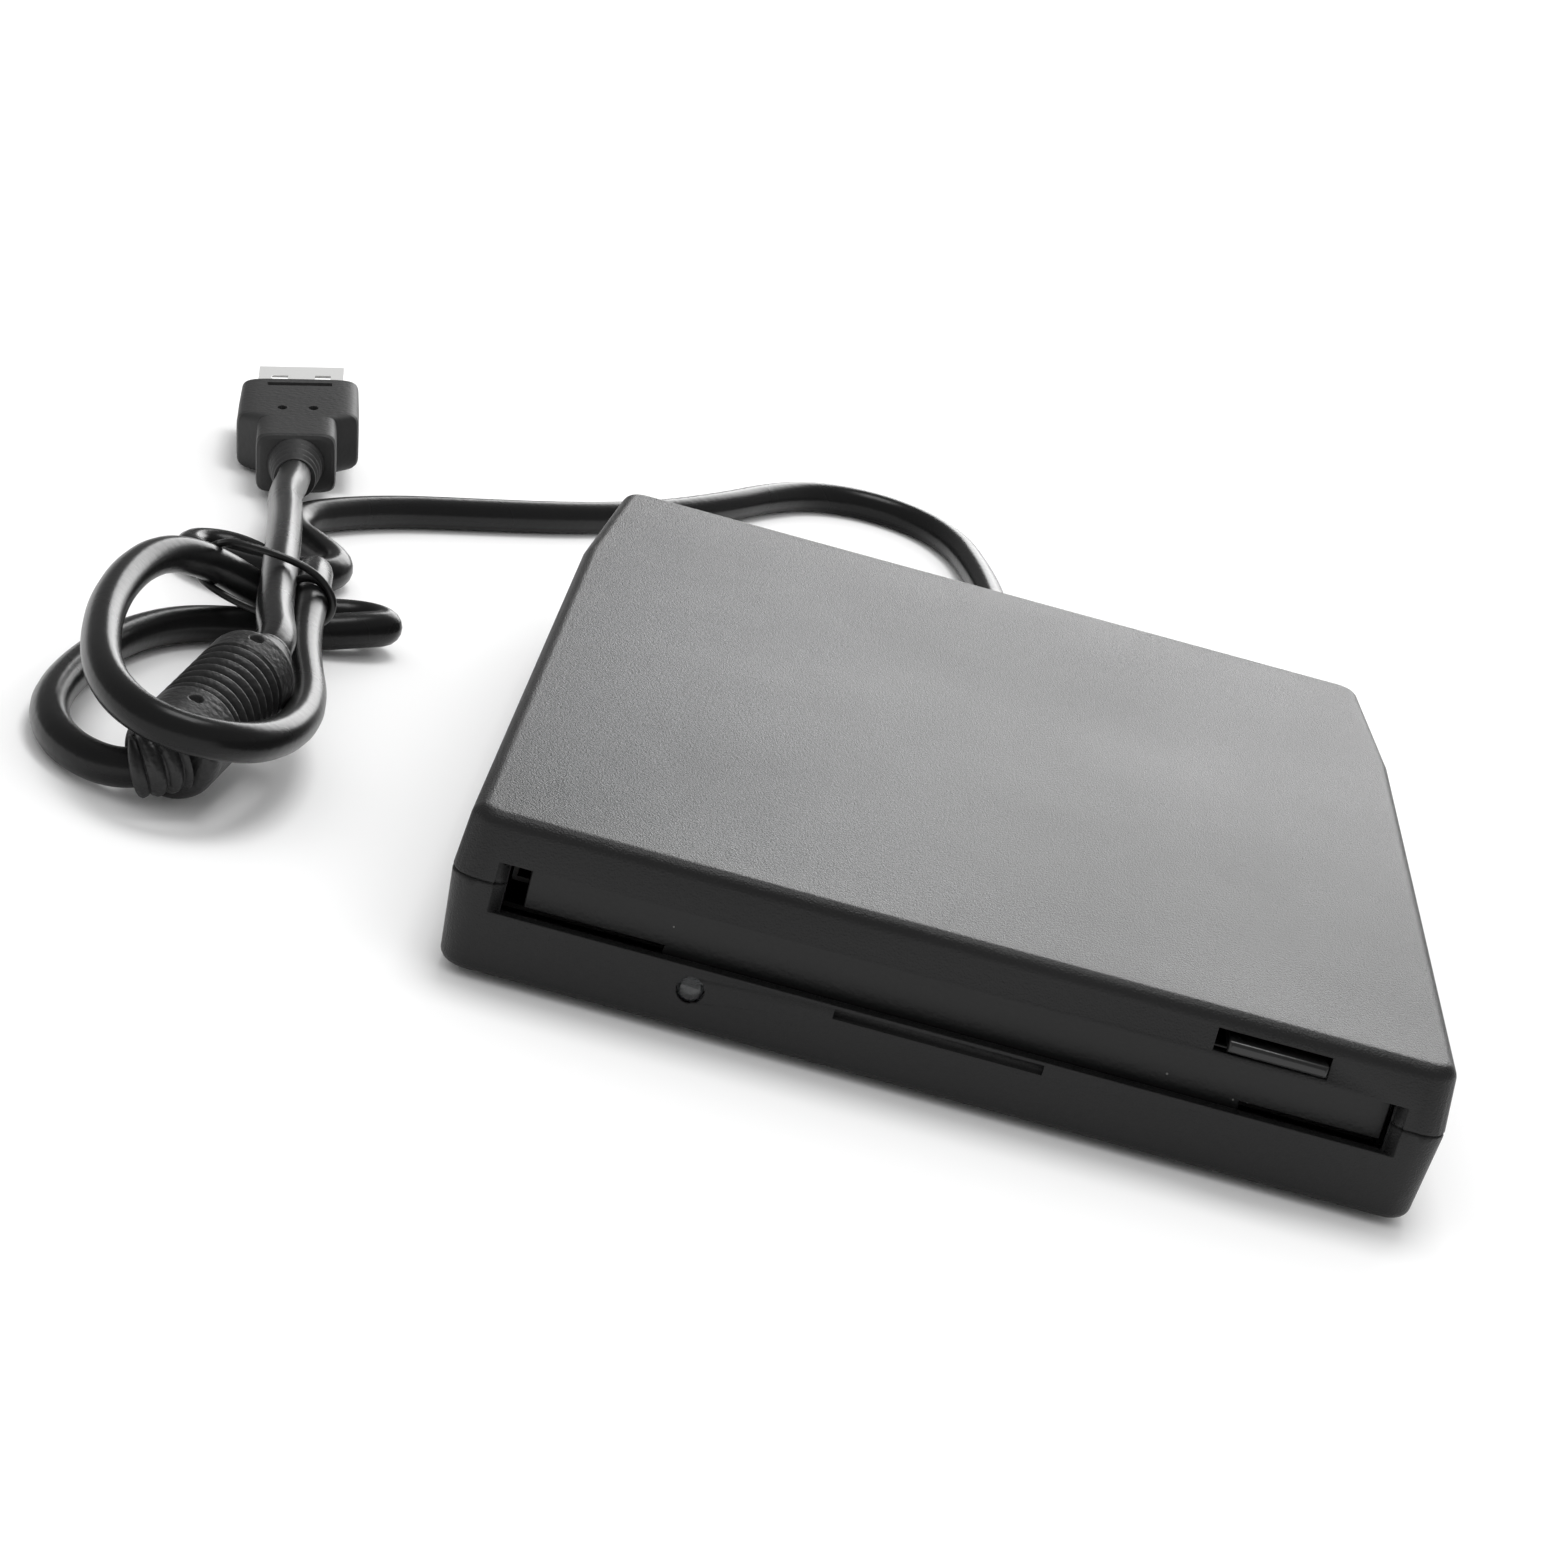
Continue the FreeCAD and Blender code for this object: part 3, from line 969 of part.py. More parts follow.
bridge_socket = block((MAIN_X[1] + " - 4.2", MAIN_X[1] + " + 5"), (BOARD_Y[0], BOARD_Y[0] + " + 3"),
                      (BOARD_TOP, MAIN_TOP + " + 1.4"))
node("ribbon_sockets", group(main_socket, bridge_socket))
node("ribbon_cable", block((MAIN_X[1] + " - 4", MAIN_X[1] + " - 1.2"), (SOCKET_BACK, BOARD_Y[0]),
                           (RIBBON_Z, RIBBON_Z + " + 0.3")))

# Cord routes: points chosen to lie as the real cord lies, from the gland to the tied bundle
CORD_Z = 2.25
LEAD_ROUTE = [
    (4, 84, 7.2), (4, 93.5, 6.6), (4.3, 103, 3.8), (4.2, 113, CORD_Z), (2.8, 127, CORD_Z),
    (0.4, 140, CORD_Z), (-2.6, 151.3, CORD_Z), (-8.2, 159.2, CORD_Z), (-17, 161.8, CORD_Z),
    (-25.6, 157.8, CORD_Z), (-31.6, 148.8, CORD_Z), (-37.6, 136, CORD_Z), (-46.5, 120.5, CORD_Z),
    (-57.5, 107.4, CORD_Z), (-68.5, 96.9, CORD_Z), (-74, 91.8, CORD_Z)]
BUNDLE_ROUTE = [
    (-74, 91.8, CORD_Z), (-79.4, 86.4, CORD_Z), (-84.9, 79.2, CORD_Z), (-89.3, 71.3, CORD_Z),
    (-89.1, 63.8, CORD_Z), (-84.9, 59, 2.4), (-80.7, 53, 2.4), (-82.6, 46.4, 2.4),
    (-88.6, 46.3, CORD_Z), (-94, 49.8, CORD_Z), (-98.8, 47.3, CORD_Z), (-98.7, 41.7, 2.4),
    (-93.8, 38.7, 3), (-87.6, 36.5, 3.7), (-81.9, 33.1, 6.5), (-80.7, 26.6, 8.7), (-79.7, 15, 8.7),
    (-76.9, -2.8, 7.8), (-72.7, -19.6, 7.4), (-72.5, -36.4, 8.6), (-77.5, -47.8, 10),
    (-86.4, -50.8, 10.9), (-93.8, -41.4, 11.3), (-98, -22, 11.7), (-98.8, -4.3, 12),
    (-96.9, 8.3, 11.8), (-92.7, 14.9, 10.2), (-87.9, 22.3, 6.4), (-82.5, 28.9, CORD_Z),
    (-77.2, 34.6, CORD_Z), (-71.8, 35.2, 2.8), (-69.4, 29.6, 2.9), (-73.3, 24.8, 2.7),
    (-79.8, 22.2, 2.5), (-87.8, 19.3, CORD_Z), (-95.1, 11.7, 2.4), (-99.5, -1.6, 2.4),
    (-100.9, -15.5, 2.4), (-99.5, -27.9, 2.4), (-96.2, -39, 2.4), (-94.2, -45.8, 2.9),
    (-90.0, -49.9, 3.7), (-85.4, -48.3, 4.9), (-84.48, -43.48, 5.82)]
TAIL_ROUTE = [
    (-79.98, -18.29, 10.43), (-79.01, -14.48, 11.44), (-81.74, -2.04, 10.9), (-83.43, 10.11, 10.6),
    (-85.08, 22.64, 10.4), (-86.85, 35.63, 9.56), (-88.73, 49.03, 8.45), (-90.81, 61.24, 7.5),
    (-91.33, 72.57, 6.6), (-92.27, 80.25, 5.64)]
TIE_ROUTE = [
    (-94.2, 15.2, 13.4), (-91.0, 16.2, 12.9), (-87.6, 16.8, 13.2), (-84.2, 16.6, 13.9),
    (-80.8, 16.4, 13.2), (-77.6, 16.6, 11.6), (-76.1, 16.8, 8.6), (-77.6, 17.0, 5.7), (-81.0, 17.2, 5.3),
    (-85.0, 17.2, 5.6), (-89.2, 17.2, 5.8), (-93.2, 17.2, 6.2), (-95.0, 17.4, 9.3), (-93.8, 18.0, 12.3),
    (-91.0, 19.4, 13.8)]
GLAND_MOVE = FreeCAD.Vector(value("gland_x") - LEAD_ROUTE[0][0], value(GLAND_END) - LEAD_ROUTE[0][1], 0)


def placed(point):
    """A point of a route, moved with the gland that the cord leaves from."""
    return FreeCAD.Vector(*point) + GLAND_MOVE


def smooth_path(points):
    """Straight runs joined by tangent arcs as large as the two runs allow."""
    places = [placed(p) for p in points]
    edges = []
    radii = []
    start = places[0]
    for before, here, after in zip(places, places[1:], places[2:]):
        into = (here - before).normalize()
        away = (after - here).normalize()
        half = into.getAngle(away) / 2
        reach = 0.45 * min(here.distanceToPoint(before), here.distanceToPoint(after))
        radii.append(reach / math.tan(half))
        first = here - into * reach
        last = here + away * reach
        inward = (away - into).normalize()
        middle = here + inward * (radii[-1] / math.cos(half) - radii[-1])
        edges.append(Part.LineSegment(start, first).toShape())
        edges.append(Part.Arc(first, middle, last).toShape())
        start = last
    edges.append(Part.LineSegment(start, places[-1]).toShape())
    return Part.Wire(edges), radii


def sweep(label, points, radius):
    """A round tube along a smooth path, registered as a node."""
    path, radii = smooth_path(points)
    direction = placed(points[1]) - placed(points[0])
    section = Part.Wire(Part.Circle(placed(points[0]), direction, radius).toShape())
    obj = doc.addObject("Part::Feature", fresh("sweep"))
    obj.Shape = path.makePipeShell([section], True, False)
    share = obj.Shape.Volume / (math.pi * radius ** 2 * path.Length)
    print("%s length %.1f least radius %.1f volume share %.4f" % (label, path.Length, min(radii), share))
    print("  radii " + " ".join("%.1f" % r for r in radii))
    node(label, obj)
    return path


def least_gap(paths, radius, skip):
    """The least gap between stretches of cord that are not next to each other on the route."""
    marks = []
    along = 0.0
    for path, beyond in paths:
        count = int(path.Length / 1.0)
        for index, point in enumerate(path.discretize(Number=count + 1)):
            marks.append((point, along + index * path.Length / count))
        along += path.Length + beyond
    best = (1e9, None)
    for i, (a, s) in enumerate(marks):
        for b, t in marks[i + 1:]:
            if t - s > skip:
                gap = a.distanceToPoint(b) - 2 * radius
                if gap < best[0]:
                    best = (gap, a, b)
    return best


CORD_RADIUS = value("cord_diameter / 2")
lead_path = sweep("usb_lead", LEAD_ROUTE, CORD_RADIUS)
bundle_path = sweep("usb_bundle", BUNDLE_ROUTE, CORD_RADIUS)
tail_path = sweep("usb_tail", TAIL_ROUTE, CORD_RADIUS)
BEAD_SKIP = 28.0
NEAR_SKIP = 13.0
cord_stretches = [(lead_path, 0.0), (bundle_path, BEAD_SKIP), (tail_path, 0.0)]
print("cord least gap to itself", least_gap(cord_stretches, CORD_RADIUS, NEAR_SKIP))
sweep("twist_tie", TIE_ROUTE, value("wire_radius"))

# Ferrite bead: moulded sleeve with ribs between two plain ends, and a boot at each end
bead_line = (placed(TAIL_ROUTE[0]) - placed(BUNDLE_ROUTE[-1])).normalize()
BEAD_NEAR = placed(BUNDLE_ROUTE[-1]) + bead_line * value("bead_near_boot")
BEAD_FAR = placed(TAIL_ROUTE[0]) - bead_line * value("bead_boot")
bead_axis = BEAD_FAR - BEAD_NEAR
BEAD_LENGTH = bead_axis.Length
bead_body = rod("z", ("0", "0"), "bead_radius", "0", str(BEAD_LENGTH))
boots = [rod("z", ("0", "0"), "cord_diameter / 2 + 1.4", "-bead_near_boot", "0.5",
             "cord_diameter / 2 + 1.8"),
         rod("z", ("0", "0"), "cord_diameter / 2 + 1.8", "%s - 0.5" % BEAD_LENGTH,
             "%s + bead_boot" % BEAD_LENGTH, "cord_diameter / 2 + 0.6")]
grooves = []
for index in range(int(value("bead_ribs")) + 1):
    middle = "%s / 2 + (%d - bead_ribs / 2) * bead_rib_pitch" % (BEAD_LENGTH, index)
    grooves.append(tube("z", ("0", "0"), "bead_radius + 1", "bead_radius - bead_rib_depth",
                        middle + " - bead_rib_pitch / 5", middle + " + bead_rib_pitch / 5"))
bead = remove(join(bead_body, *boots), *grooves)
bead.Placement = FreeCAD.Placement(BEAD_NEAR, FreeCAD.Rotation(FreeCAD.Vector(0, 0, 1), bead_axis))
node("ferrite_bead", bead)

# Plug: overmoulded body with neck and boot, metal shell and insulating tongue
PLUG_YAW = 8.6
PLUG_ROLL = -12.5
PLUG_FROM = placed(TAIL_ROUTE[-1])
NECK_BACK = "(plug_boot + plug_neck_length)"
GRIP_BACK = "(plug_boot + plug_neck_length + plug_length)"
SHELL_BACK = "(plug_boot + plug_neck_length + plug_length + shell_length)"


def centred(width, y, height):
    """A block centred on the plug's axis."""
    return block(("-(%s) / 2" % width, "(%s) / 2" % width), y, ("-(%s) / 2" % height, "(%s) / 2" % height))


grip = centred("plug_width", (NECK_BACK, GRIP_BACK), "plug_height")
doc.recompute()
grip_soft = doc.addObject("Part::Chamfer", fresh("soft"))
grip_soft.Base = grip
grip_edges = []
for number, edge in enumerate(grip.Shape.Edges, 1):
    ends = [v.Point for v in edge.Vertexes]
    if abs(ends[0].y - ends[1].y) > 1:
        grip_edges.append((number, 0.9, 0.9))
    elif min(p.y for p in ends) > value(GRIP_BACK) - 1 and abs(ends[0].x - ends[1].x) > 1:
        grip_edges.append((number, value("plug_end_slope"), value("plug_end_slope")))
grip_soft.Edges = grip_edges
neck_block = centred("plug_neck", ("plug_boot", NECK_BACK + " + 1"), "plug_height - 0.4")
neck_boot = rod("y", ("0", "0"), "plug_boot_radius - 0.4", "0", "plug_boot + 1", "plug_boot_radius")
shell_hole = centred("shell_width", (GRIP_BACK + " - 3", GRIP_BACK + " + 1"), "shell_height")
plug_body = remove(join(grip_soft, neck_block, neck_boot), shell_hole)
metal = remove(centred("shell_width", (GRIP_BACK + " - 3", SHELL_BACK), "shell_height"),
               centred("shell_width - 2 * shell_sheet", (GRIP_BACK + " - 2.5", SHELL_BACK + " + 1"),
                       "shell_height - 2 * shell_sheet"))
windows = []
for sign in ("-", ""):
    for side in ("-", ""):
        windows.append(block((sign + "3 - 1.1", sign + "3 + 1.1"),
                             (GRIP_BACK + " + 5.2", GRIP_BACK + " + 7.4"),
                             ("%s(shell_height / 2) - 0.6" % side, "%s(shell_height / 2) + 0.6" % side)))
plug_shell = remove(metal, *windows)
tongue_half = "(shell_width / 2 - shell_sheet)"
plug_tongue = block(("-" + tongue_half, tongue_half), (GRIP_BACK + " - 2.5", SHELL_BACK + " - 0.4"),
                    ("-shell_height / 2 + shell_sheet", "-shell_height / 2 + shell_sheet + 1.9"))
plug_place = FreeCAD.Placement(PLUG_FROM, FreeCAD.Rotation(FreeCAD.Vector(0, 0, 1), PLUG_YAW)
                               * FreeCAD.Rotation(FreeCAD.Vector(0, 1, 0), PLUG_ROLL))
for label, obj in (("plug_body", plug_body), ("plug_shell", plug_shell)):
    obj.Placement = plug_place
    node(label, obj)
tongue_piece = remove(plug_tongue, block(("-20", "-19"), ("0", "1"), ("0", "1")))
tongue_piece.Placement = plug_place
node("plug_tongue", tongue_piece)

# Check every object, then write one file for each sub-part
doc.recompute()
for obj in doc.Objects:
    if {"Invalid", "Error"} & set(obj.State):
        raise RuntimeError("%s failed: %s" % (obj.Name, obj.State))
for label, obj in nodes.items():
    if obj.Shape.isNull() or not obj.Shape.isValid() or not obj.Shape.Solids:
        raise RuntimeError("%s has no valid solid" % label)
os.makedirs("parts", exist_ok=True)
for label, obj in nodes.items():
    obj.Shape.exportStep("parts/%s.step" % label)
    box = obj.Shape.BoundBox
    print("%-18s solids %2d  x %7.2f %7.2f  y %7.2f %7.2f  z %6.2f %6.2f" % (
        label, len(obj.Shape.Solids), box.XMin, box.XMax, box.YMin, box.YMax, box.ZMin, box.ZMax))
print(len(nodes), "nodes")
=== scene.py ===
import json
import math
import bmesh
import bpy
import numpy as np
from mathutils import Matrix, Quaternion, Vector
from mathutils.bvhtree import BVHTree


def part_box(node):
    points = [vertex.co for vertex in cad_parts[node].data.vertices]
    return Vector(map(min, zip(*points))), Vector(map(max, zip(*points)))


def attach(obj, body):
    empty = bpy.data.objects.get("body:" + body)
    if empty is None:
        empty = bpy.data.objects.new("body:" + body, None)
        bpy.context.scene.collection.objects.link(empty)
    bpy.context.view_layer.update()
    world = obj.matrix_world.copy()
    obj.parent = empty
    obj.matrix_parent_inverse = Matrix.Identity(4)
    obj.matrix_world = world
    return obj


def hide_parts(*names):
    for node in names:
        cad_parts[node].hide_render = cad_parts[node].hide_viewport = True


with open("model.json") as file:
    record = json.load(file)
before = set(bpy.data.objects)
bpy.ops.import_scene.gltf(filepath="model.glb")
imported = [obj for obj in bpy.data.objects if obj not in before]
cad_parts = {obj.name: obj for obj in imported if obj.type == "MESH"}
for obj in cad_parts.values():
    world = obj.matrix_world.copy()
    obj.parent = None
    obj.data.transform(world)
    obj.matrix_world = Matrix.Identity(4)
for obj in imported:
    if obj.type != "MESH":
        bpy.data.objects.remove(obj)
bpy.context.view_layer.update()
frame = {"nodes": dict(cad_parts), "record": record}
MM = 0.001

# The view. The drive is seen from in front, a little above the table, with the camera
# tipped to the left and fitted with a long lens.
EYE = Vector((-0.02916, -0.48995, 0.15922))
SIGHT = Vector((0.01505, 0.95506, -0.29602))
TIP = math.radians(15.483)
LENS = 103.38
SENSOR = 36.0
camera = bpy.data.objects.new("camera", bpy.data.cameras.new("camera"))
camera.data.lens = LENS
camera.data.sensor_width = SENSOR
camera.location = EYE
camera.rotation_mode = "QUATERNION"
camera.rotation_quaternion = SIGHT.to_track_quat("-Z", "Y") @ Quaternion((0, 0, 1), TIP)
bpy.context.scene.collection.objects.link(camera)
bpy.context.scene.camera = camera
bpy.context.scene.view_settings.view_transform = "Standard"


# Case: two moulded half shells in black ABS with a fine matt grain, screwed together from
# below. The lid has the slot's upper edge and the button's notch, the tray the sill, the label
# groove and the lamp's hole.
def new_material(name):
    """A node material and its surface shader."""
    material = bpy.data.materials.new(name)
    material.use_nodes = True
    return material, material.node_tree.nodes["Principled BSDF"]


def add(tree, kind, **values):
    """A node with named inputs or properties set."""
    made = tree.nodes.new(kind)
    for key, what in values.items():
        if hasattr(made, key):
            setattr(made, key, what)
        else:
            made.inputs[key.replace("_", " ")].default_value = what
    return made


def wire(tree, source, target):
    """Join an output socket to an input socket."""
    tree.links.new(source, target)


def new_group(name, inputs, outputs):
    """An empty node group with its sockets: (name, value) inputs and (name, kind) outputs."""
    tree = bpy.data.node_groups.new(name, "ShaderNodeTree")
    for label, start in inputs:
        socket = tree.interface.new_socket(label, in_out="INPUT", socket_type="NodeSocketFloat")
        socket.default_value = start
    for label, kind in outputs:
        tree.interface.new_socket(label, in_out="OUTPUT", socket_type=kind)
    return tree, tree.nodes.new("NodeGroupInput"), tree.nodes.new("NodeGroupOutput")


def place_group(tree, group, **values):
    """A group node in a material, with its values and Object coordinates inside it."""
    made = tree.nodes.new("ShaderNodeGroup")
    made.node_tree = group
    for key, what in values.items():
        made.inputs[key.replace("_", " ")].default_value = what
    return made


def blend_colours(tree, mask, low, high):
    """Mix two colours by a mask socket and return the colour socket."""
    mix = add(tree, "ShaderNodeMix", data_type="RGBA")
    mix.inputs["A"].default_value = (*low, 1)
    mix.inputs["B"].default_value = (*high, 1)
    wire(tree, mask, mix.inputs["Factor"])
    return mix.outputs["Result"]


# Spark-eroded grain: the fine pitted texture that a mould leaves on matt plastic, with
# slow changes in how matt it is. Grain is the height of the pits, Patch the slow change.
grain_group, grain_in, grain_out = new_group(
    "moulded grain", [("Grains per metre", 2600.0), ("Patches per metre", 30.0)],
    [("Grain", "NodeSocketFloat"), ("Patch", "NodeSocketFloat"), ("Pits", "NodeSocketFloat")])
grain_at = add(grain_group, "ShaderNodeTexCoord")
grain_noise = add(grain_group, "ShaderNodeTexNoise", Detail=2.5, Roughness=0.6)
grain_cells = add(grain_group, "ShaderNodeTexVoronoi", feature="SMOOTH_F1")
grain_patch = add(grain_group, "ShaderNodeTexNoise", Detail=3.0, Roughness=0.5)
grain_mix = add(grain_group, "ShaderNodeMath", operation="MULTIPLY_ADD")
for texture, socket in ((grain_noise, "Grains per metre"), (grain_cells, "Grains per metre"),
                        (grain_patch, "Patches per metre")):
    wire(grain_group, grain_at.outputs["Object"], texture.inputs["Vector"])
    wire(grain_group, grain_in.outputs[socket], texture.inputs["Scale"])
grain_mix.inputs[1].default_value = 0.7
wire(grain_group, grain_cells.outputs["Distance"], grain_mix.inputs[0])
wire(grain_group, grain_noise.outputs["Fac"], grain_mix.inputs[2])
wire(grain_group, grain_mix.outputs["Value"], grain_out.inputs["Grain"])
wire(grain_group, grain_patch.outputs["Fac"], grain_out.inputs["Patch"])
wire(grain_group, grain_cells.outputs["Distance"], grain_out.inputs["Pits"])

# Dust: a few pale specks that lie on dark plastic. Cover is the share of cells with a speck.
dust_group, dust_in, dust_out = new_group(
    "dust specks", [("Specks per metre", 700.0), ("Size", 0.16), ("Cover", 0.12)],
    [("Mask", "NodeSocketFloat")])
dust_at = add(dust_group, "ShaderNodeTexCoord")
dust_cells = add(dust_group, "ShaderNodeTexVoronoi")
dust_near = add(dust_group, "ShaderNodeMath", operation="LESS_THAN")
dust_pick = add(dust_group, "ShaderNodeSeparateColor")
dust_some = add(dust_group, "ShaderNodeMath", operation="LESS_THAN")
dust_both = add(dust_group, "ShaderNodeMath", operation="MULTIPLY")
wire(dust_group, dust_at.outputs["Object"], dust_cells.inputs["Vector"])
wire(dust_group, dust_in.outputs["Specks per metre"], dust_cells.inputs["Scale"])
wire(dust_group, dust_cells.outputs["Distance"], dust_near.inputs[0])
wire(dust_group, dust_in.outputs["Size"], dust_near.inputs[1])
wire(dust_group, dust_cells.outputs["Color"], dust_pick.inputs["Color"])
wire(dust_group, dust_pick.outputs["Red"], dust_some.inputs[0])
wire(dust_group, dust_in.outputs["Cover"], dust_some.inputs[1])
wire(dust_group, dust_near.outputs["Value"], dust_both.inputs[0])
wire(dust_group, dust_some.outputs["Value"], dust_both.inputs[1])
wire(dust_group, dust_both.outputs["Value"], dust_out.inputs["Mask"])


def plastic(name, dark, pale, roughness, grain, depth, specks=0.0, speck_size=0.16, speck=0.3,
            specular=0.3, soften=0.0):
    """Moulded plastic: two close colours by patch, a grain bump, and dust where asked.

    soften, where given, is the radius that sharp edges are shaded with.
    """
    material, shader = new_material(name)
    tree = material.node_tree
    texture = place_group(tree, grain_group, Grains_per_metre=grain, Patches_per_metre=26.0)
    colour = blend_colours(tree, texture.outputs["Patch"], dark, pale)
    if specks:
        dust = place_group(tree, dust_group, Cover=specks, Size=speck_size)
        mix = add(tree, "ShaderNodeMix", data_type="RGBA")
        mix.inputs["B"].default_value = (speck, speck, speck * 0.97, 1)
        wire(tree, dust.outputs["Mask"], mix.inputs["Factor"])
        wire(tree, colour, mix.inputs["A"])
        colour = mix.outputs["Result"]
    wire(tree, colour, shader.inputs["Base Color"])
    spread = add(tree, "ShaderNodeMapRange", To_Min=roughness - 0.05, To_Max=roughness + 0.05)
    wire(tree, texture.outputs["Patch"], spread.inputs["Value"])
    wire(tree, spread.outputs["Result"], shader.inputs["Roughness"])
    bump = add(tree, "ShaderNodeBump", Strength=1.0, Distance=depth)
    wire(tree, texture.outputs["Grain"], bump.inputs["Height"])
    wire(tree, bump.outputs["Normal"], shader.inputs["Normal"])
    if soften:
        rounded = add(tree, "ShaderNodeBevel", samples=6, Radius=soften)
        wire(tree, rounded.outputs["Normal"], bump.inputs["Normal"])
    shader.inputs["Specular IOR Level"].default_value = specular
    return material


CREASE = math.radians(40)
PROBE = 0.02 * MM


def open_edges(work):
    """Sharp outward edges whose two faces both look out into the open, none inside a shell."""
    solid = BVHTree.FromBMesh(work)
    found = []
    for edge in work.edges:
        if not edge.is_manifold or not edge.is_convex or edge.calc_face_angle() < CREASE:
            continue
        middle = (edge.verts[0].co + edge.verts[1].co) / 2
        looks = [solid.ray_cast(middle + face.normal * PROBE, face.normal)[0]
                 for face in edge.link_faces]
        if looks == [None, None]:
            found.append(edge)
    return found


SEAM_REACH = 0.01 * MM
SEAM_PROBE = 0.05 * MM
SEAM_SLOPE = 0.8


def chamfer_seam(work, level, depth):
    """Slope the outer edge of a half shell in towards its seam.

    A cut at level + depth leaves a band of faces, and the band's seam side then moves in by
    SEAM_SLOPE of its height. The depth is negative for the lower shell.
    """
    bmesh.ops.bisect_plane(work, geom=work.verts[:] + work.edges[:] + work.faces[:],
                           plane_co=(0, 0, level + depth), plane_no=(0, 0, 1), dist=1e-7)
    work.normal_update()
    solid = BVHTree.FromBMesh(work)
    moves = []
    for vert in work.verts:
        if abs(vert.co.z - level) > SEAM_REACH:
            continue
        push = Vector()
        for face in vert.link_faces:
            out = Vector((face.normal.x, face.normal.y, 0))
            start = vert.co + out * SEAM_PROBE + Vector((0, 0, depth / 2))
            if out.length > 0.5 and solid.ray_cast(start, out)[0] is None:
                push += out.normalized()
        if push.length > 0:
            moves.append((vert, push.normalized() * abs(depth) * SEAM_SLOPE))
    for vert, push in moves:
        vert.co -= push


WELD = 2e-6
FLAT = math.radians(0.6)


def finished_copy(node, name, material, bevel=0.0, seam=None):
    """A CAD node's mesh merged, with its outer edges rounded or its seam's edge cut back."""
    source = frame["nodes"][node]
    mesh = source.data.copy()
    mesh.name = name
    work = bmesh.new()
    work.from_mesh(mesh)
    bmesh.ops.remove_doubles(work, verts=work.verts, dist=WELD)
    if seam:
        chamfer_seam(work, *seam)
    if bevel:
        bmesh.ops.dissolve_limit(work, angle_limit=FLAT, verts=work.verts, edges=work.edges)
        work.normal_update()
        bmesh.ops.bevel(work, geom=open_edges(work), offset=bevel, offset_type="OFFSET",
                        segments=3, profile=0.5, affect="EDGES", clamp_overlap=False)
    work.to_mesh(mesh)
    work.free()
    mesh.materials.clear()
    mesh.materials.append(material)
    piece = bpy.data.objects.new(name, mesh)
    bpy.context.scene.collection.objects.link(piece)
    mesh.shade_smooth()
    mesh.set_sharp_from_angle(angle=CREASE)
    even = piece.modifiers.new("even", "WEIGHTED_NORMAL")
    even.keep_sharp = True
    even.weight = 80
    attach(piece, NODE_BODY[node])
    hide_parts(node)
    return piece


NODE_BODY = {}
for body, members in frame["record"]["behaviour"]["bodies"].items():
    for member in members:
        NODE_BODY[member] = body

SPLIT_LEVEL = 10.9 * MM
SEAM_CUT = 0.25 * MM
CASE_EDGE = 0.25 * MM
case_finish = plastic("case black", (0.012, 0.012, 0.0122), (0.017, 0.017, 0.0172), 0.4, 5200.0,
                      0.00006, specks=0.002, speck_size=0.1, speck=0.12, specular=0.25,
                      soften=CASE_EDGE)
finished_copy("upper_case", "lid", case_finish, seam=(SPLIT_LEVEL, SEAM_CUT))
finished_copy("lower_case", "tray", case_finish, seam=(SPLIT_LEVEL, -SEAM_CUT))

# Dust flap: a thin dark moulding hung behind the slot on two pins, with dust caught on it.
# A disk pushes it in and up, and a light spring swings it back.
flap_finish = plastic("flap black", (0.006, 0.006, 0.0062), (0.010, 0.010, 0.0102), 0.42, 2400.0,
                      0.00003, specks=0.25, speck_size=0.09, speck=0.12, specular=0.4)
finished_copy("dust_flap", "flap_panel", flap_finish, bevel=0.15 * MM)

# Eject button: a smooth satin bar that stands out of its notch in the lid. It is moulded on
# the slider's stem, so it comes forward with the slider.
button_finish = plastic("button black", (0.012, 0.012, 0.0122), (0.016, 0.016, 0.0162), 0.3, 1500.0,
                        0.00002, specular=0.5)
finished_copy("eject_button", "button_bar", button_finish, bevel=0.12 * MM)

# Lamp: a clear moulded lens, domed in front, pressed into its hole in the tray, with the
# lamp's body behind it. The lens's grey tint and the body's near-black colour are painted shade.
clear_finish, clear_shader = new_material("clear lens")
# The grey tint darkens what is seen through the lens: painted shade.
clear_shader.inputs["Base Color"].default_value = (0.6, 0.61, 0.62, 1)
clear_shader.inputs["Roughness"].default_value = 0.08
clear_shader.inputs["Transmission Weight"].default_value = 1.0
clear_shader.inputs["IOR"].default_value = 1.49
clear_ripple = add(clear_finish.node_tree, "ShaderNodeTexNoise", Scale=900.0, Detail=2.0)
clear_at = add(clear_finish.node_tree, "ShaderNodeTexCoord")
clear_bump = add(clear_finish.node_tree, "ShaderNodeBump", Strength=0.5, Distance=0.0001)
wire(clear_finish.node_tree, clear_at.outputs["Object"], clear_ripple.inputs["Vector"])
wire(clear_finish.node_tree, clear_ripple.outputs["Fac"], clear_bump.inputs["Height"])
wire(clear_finish.node_tree, clear_bump.outputs["Normal"], clear_shader.inputs["Normal"])


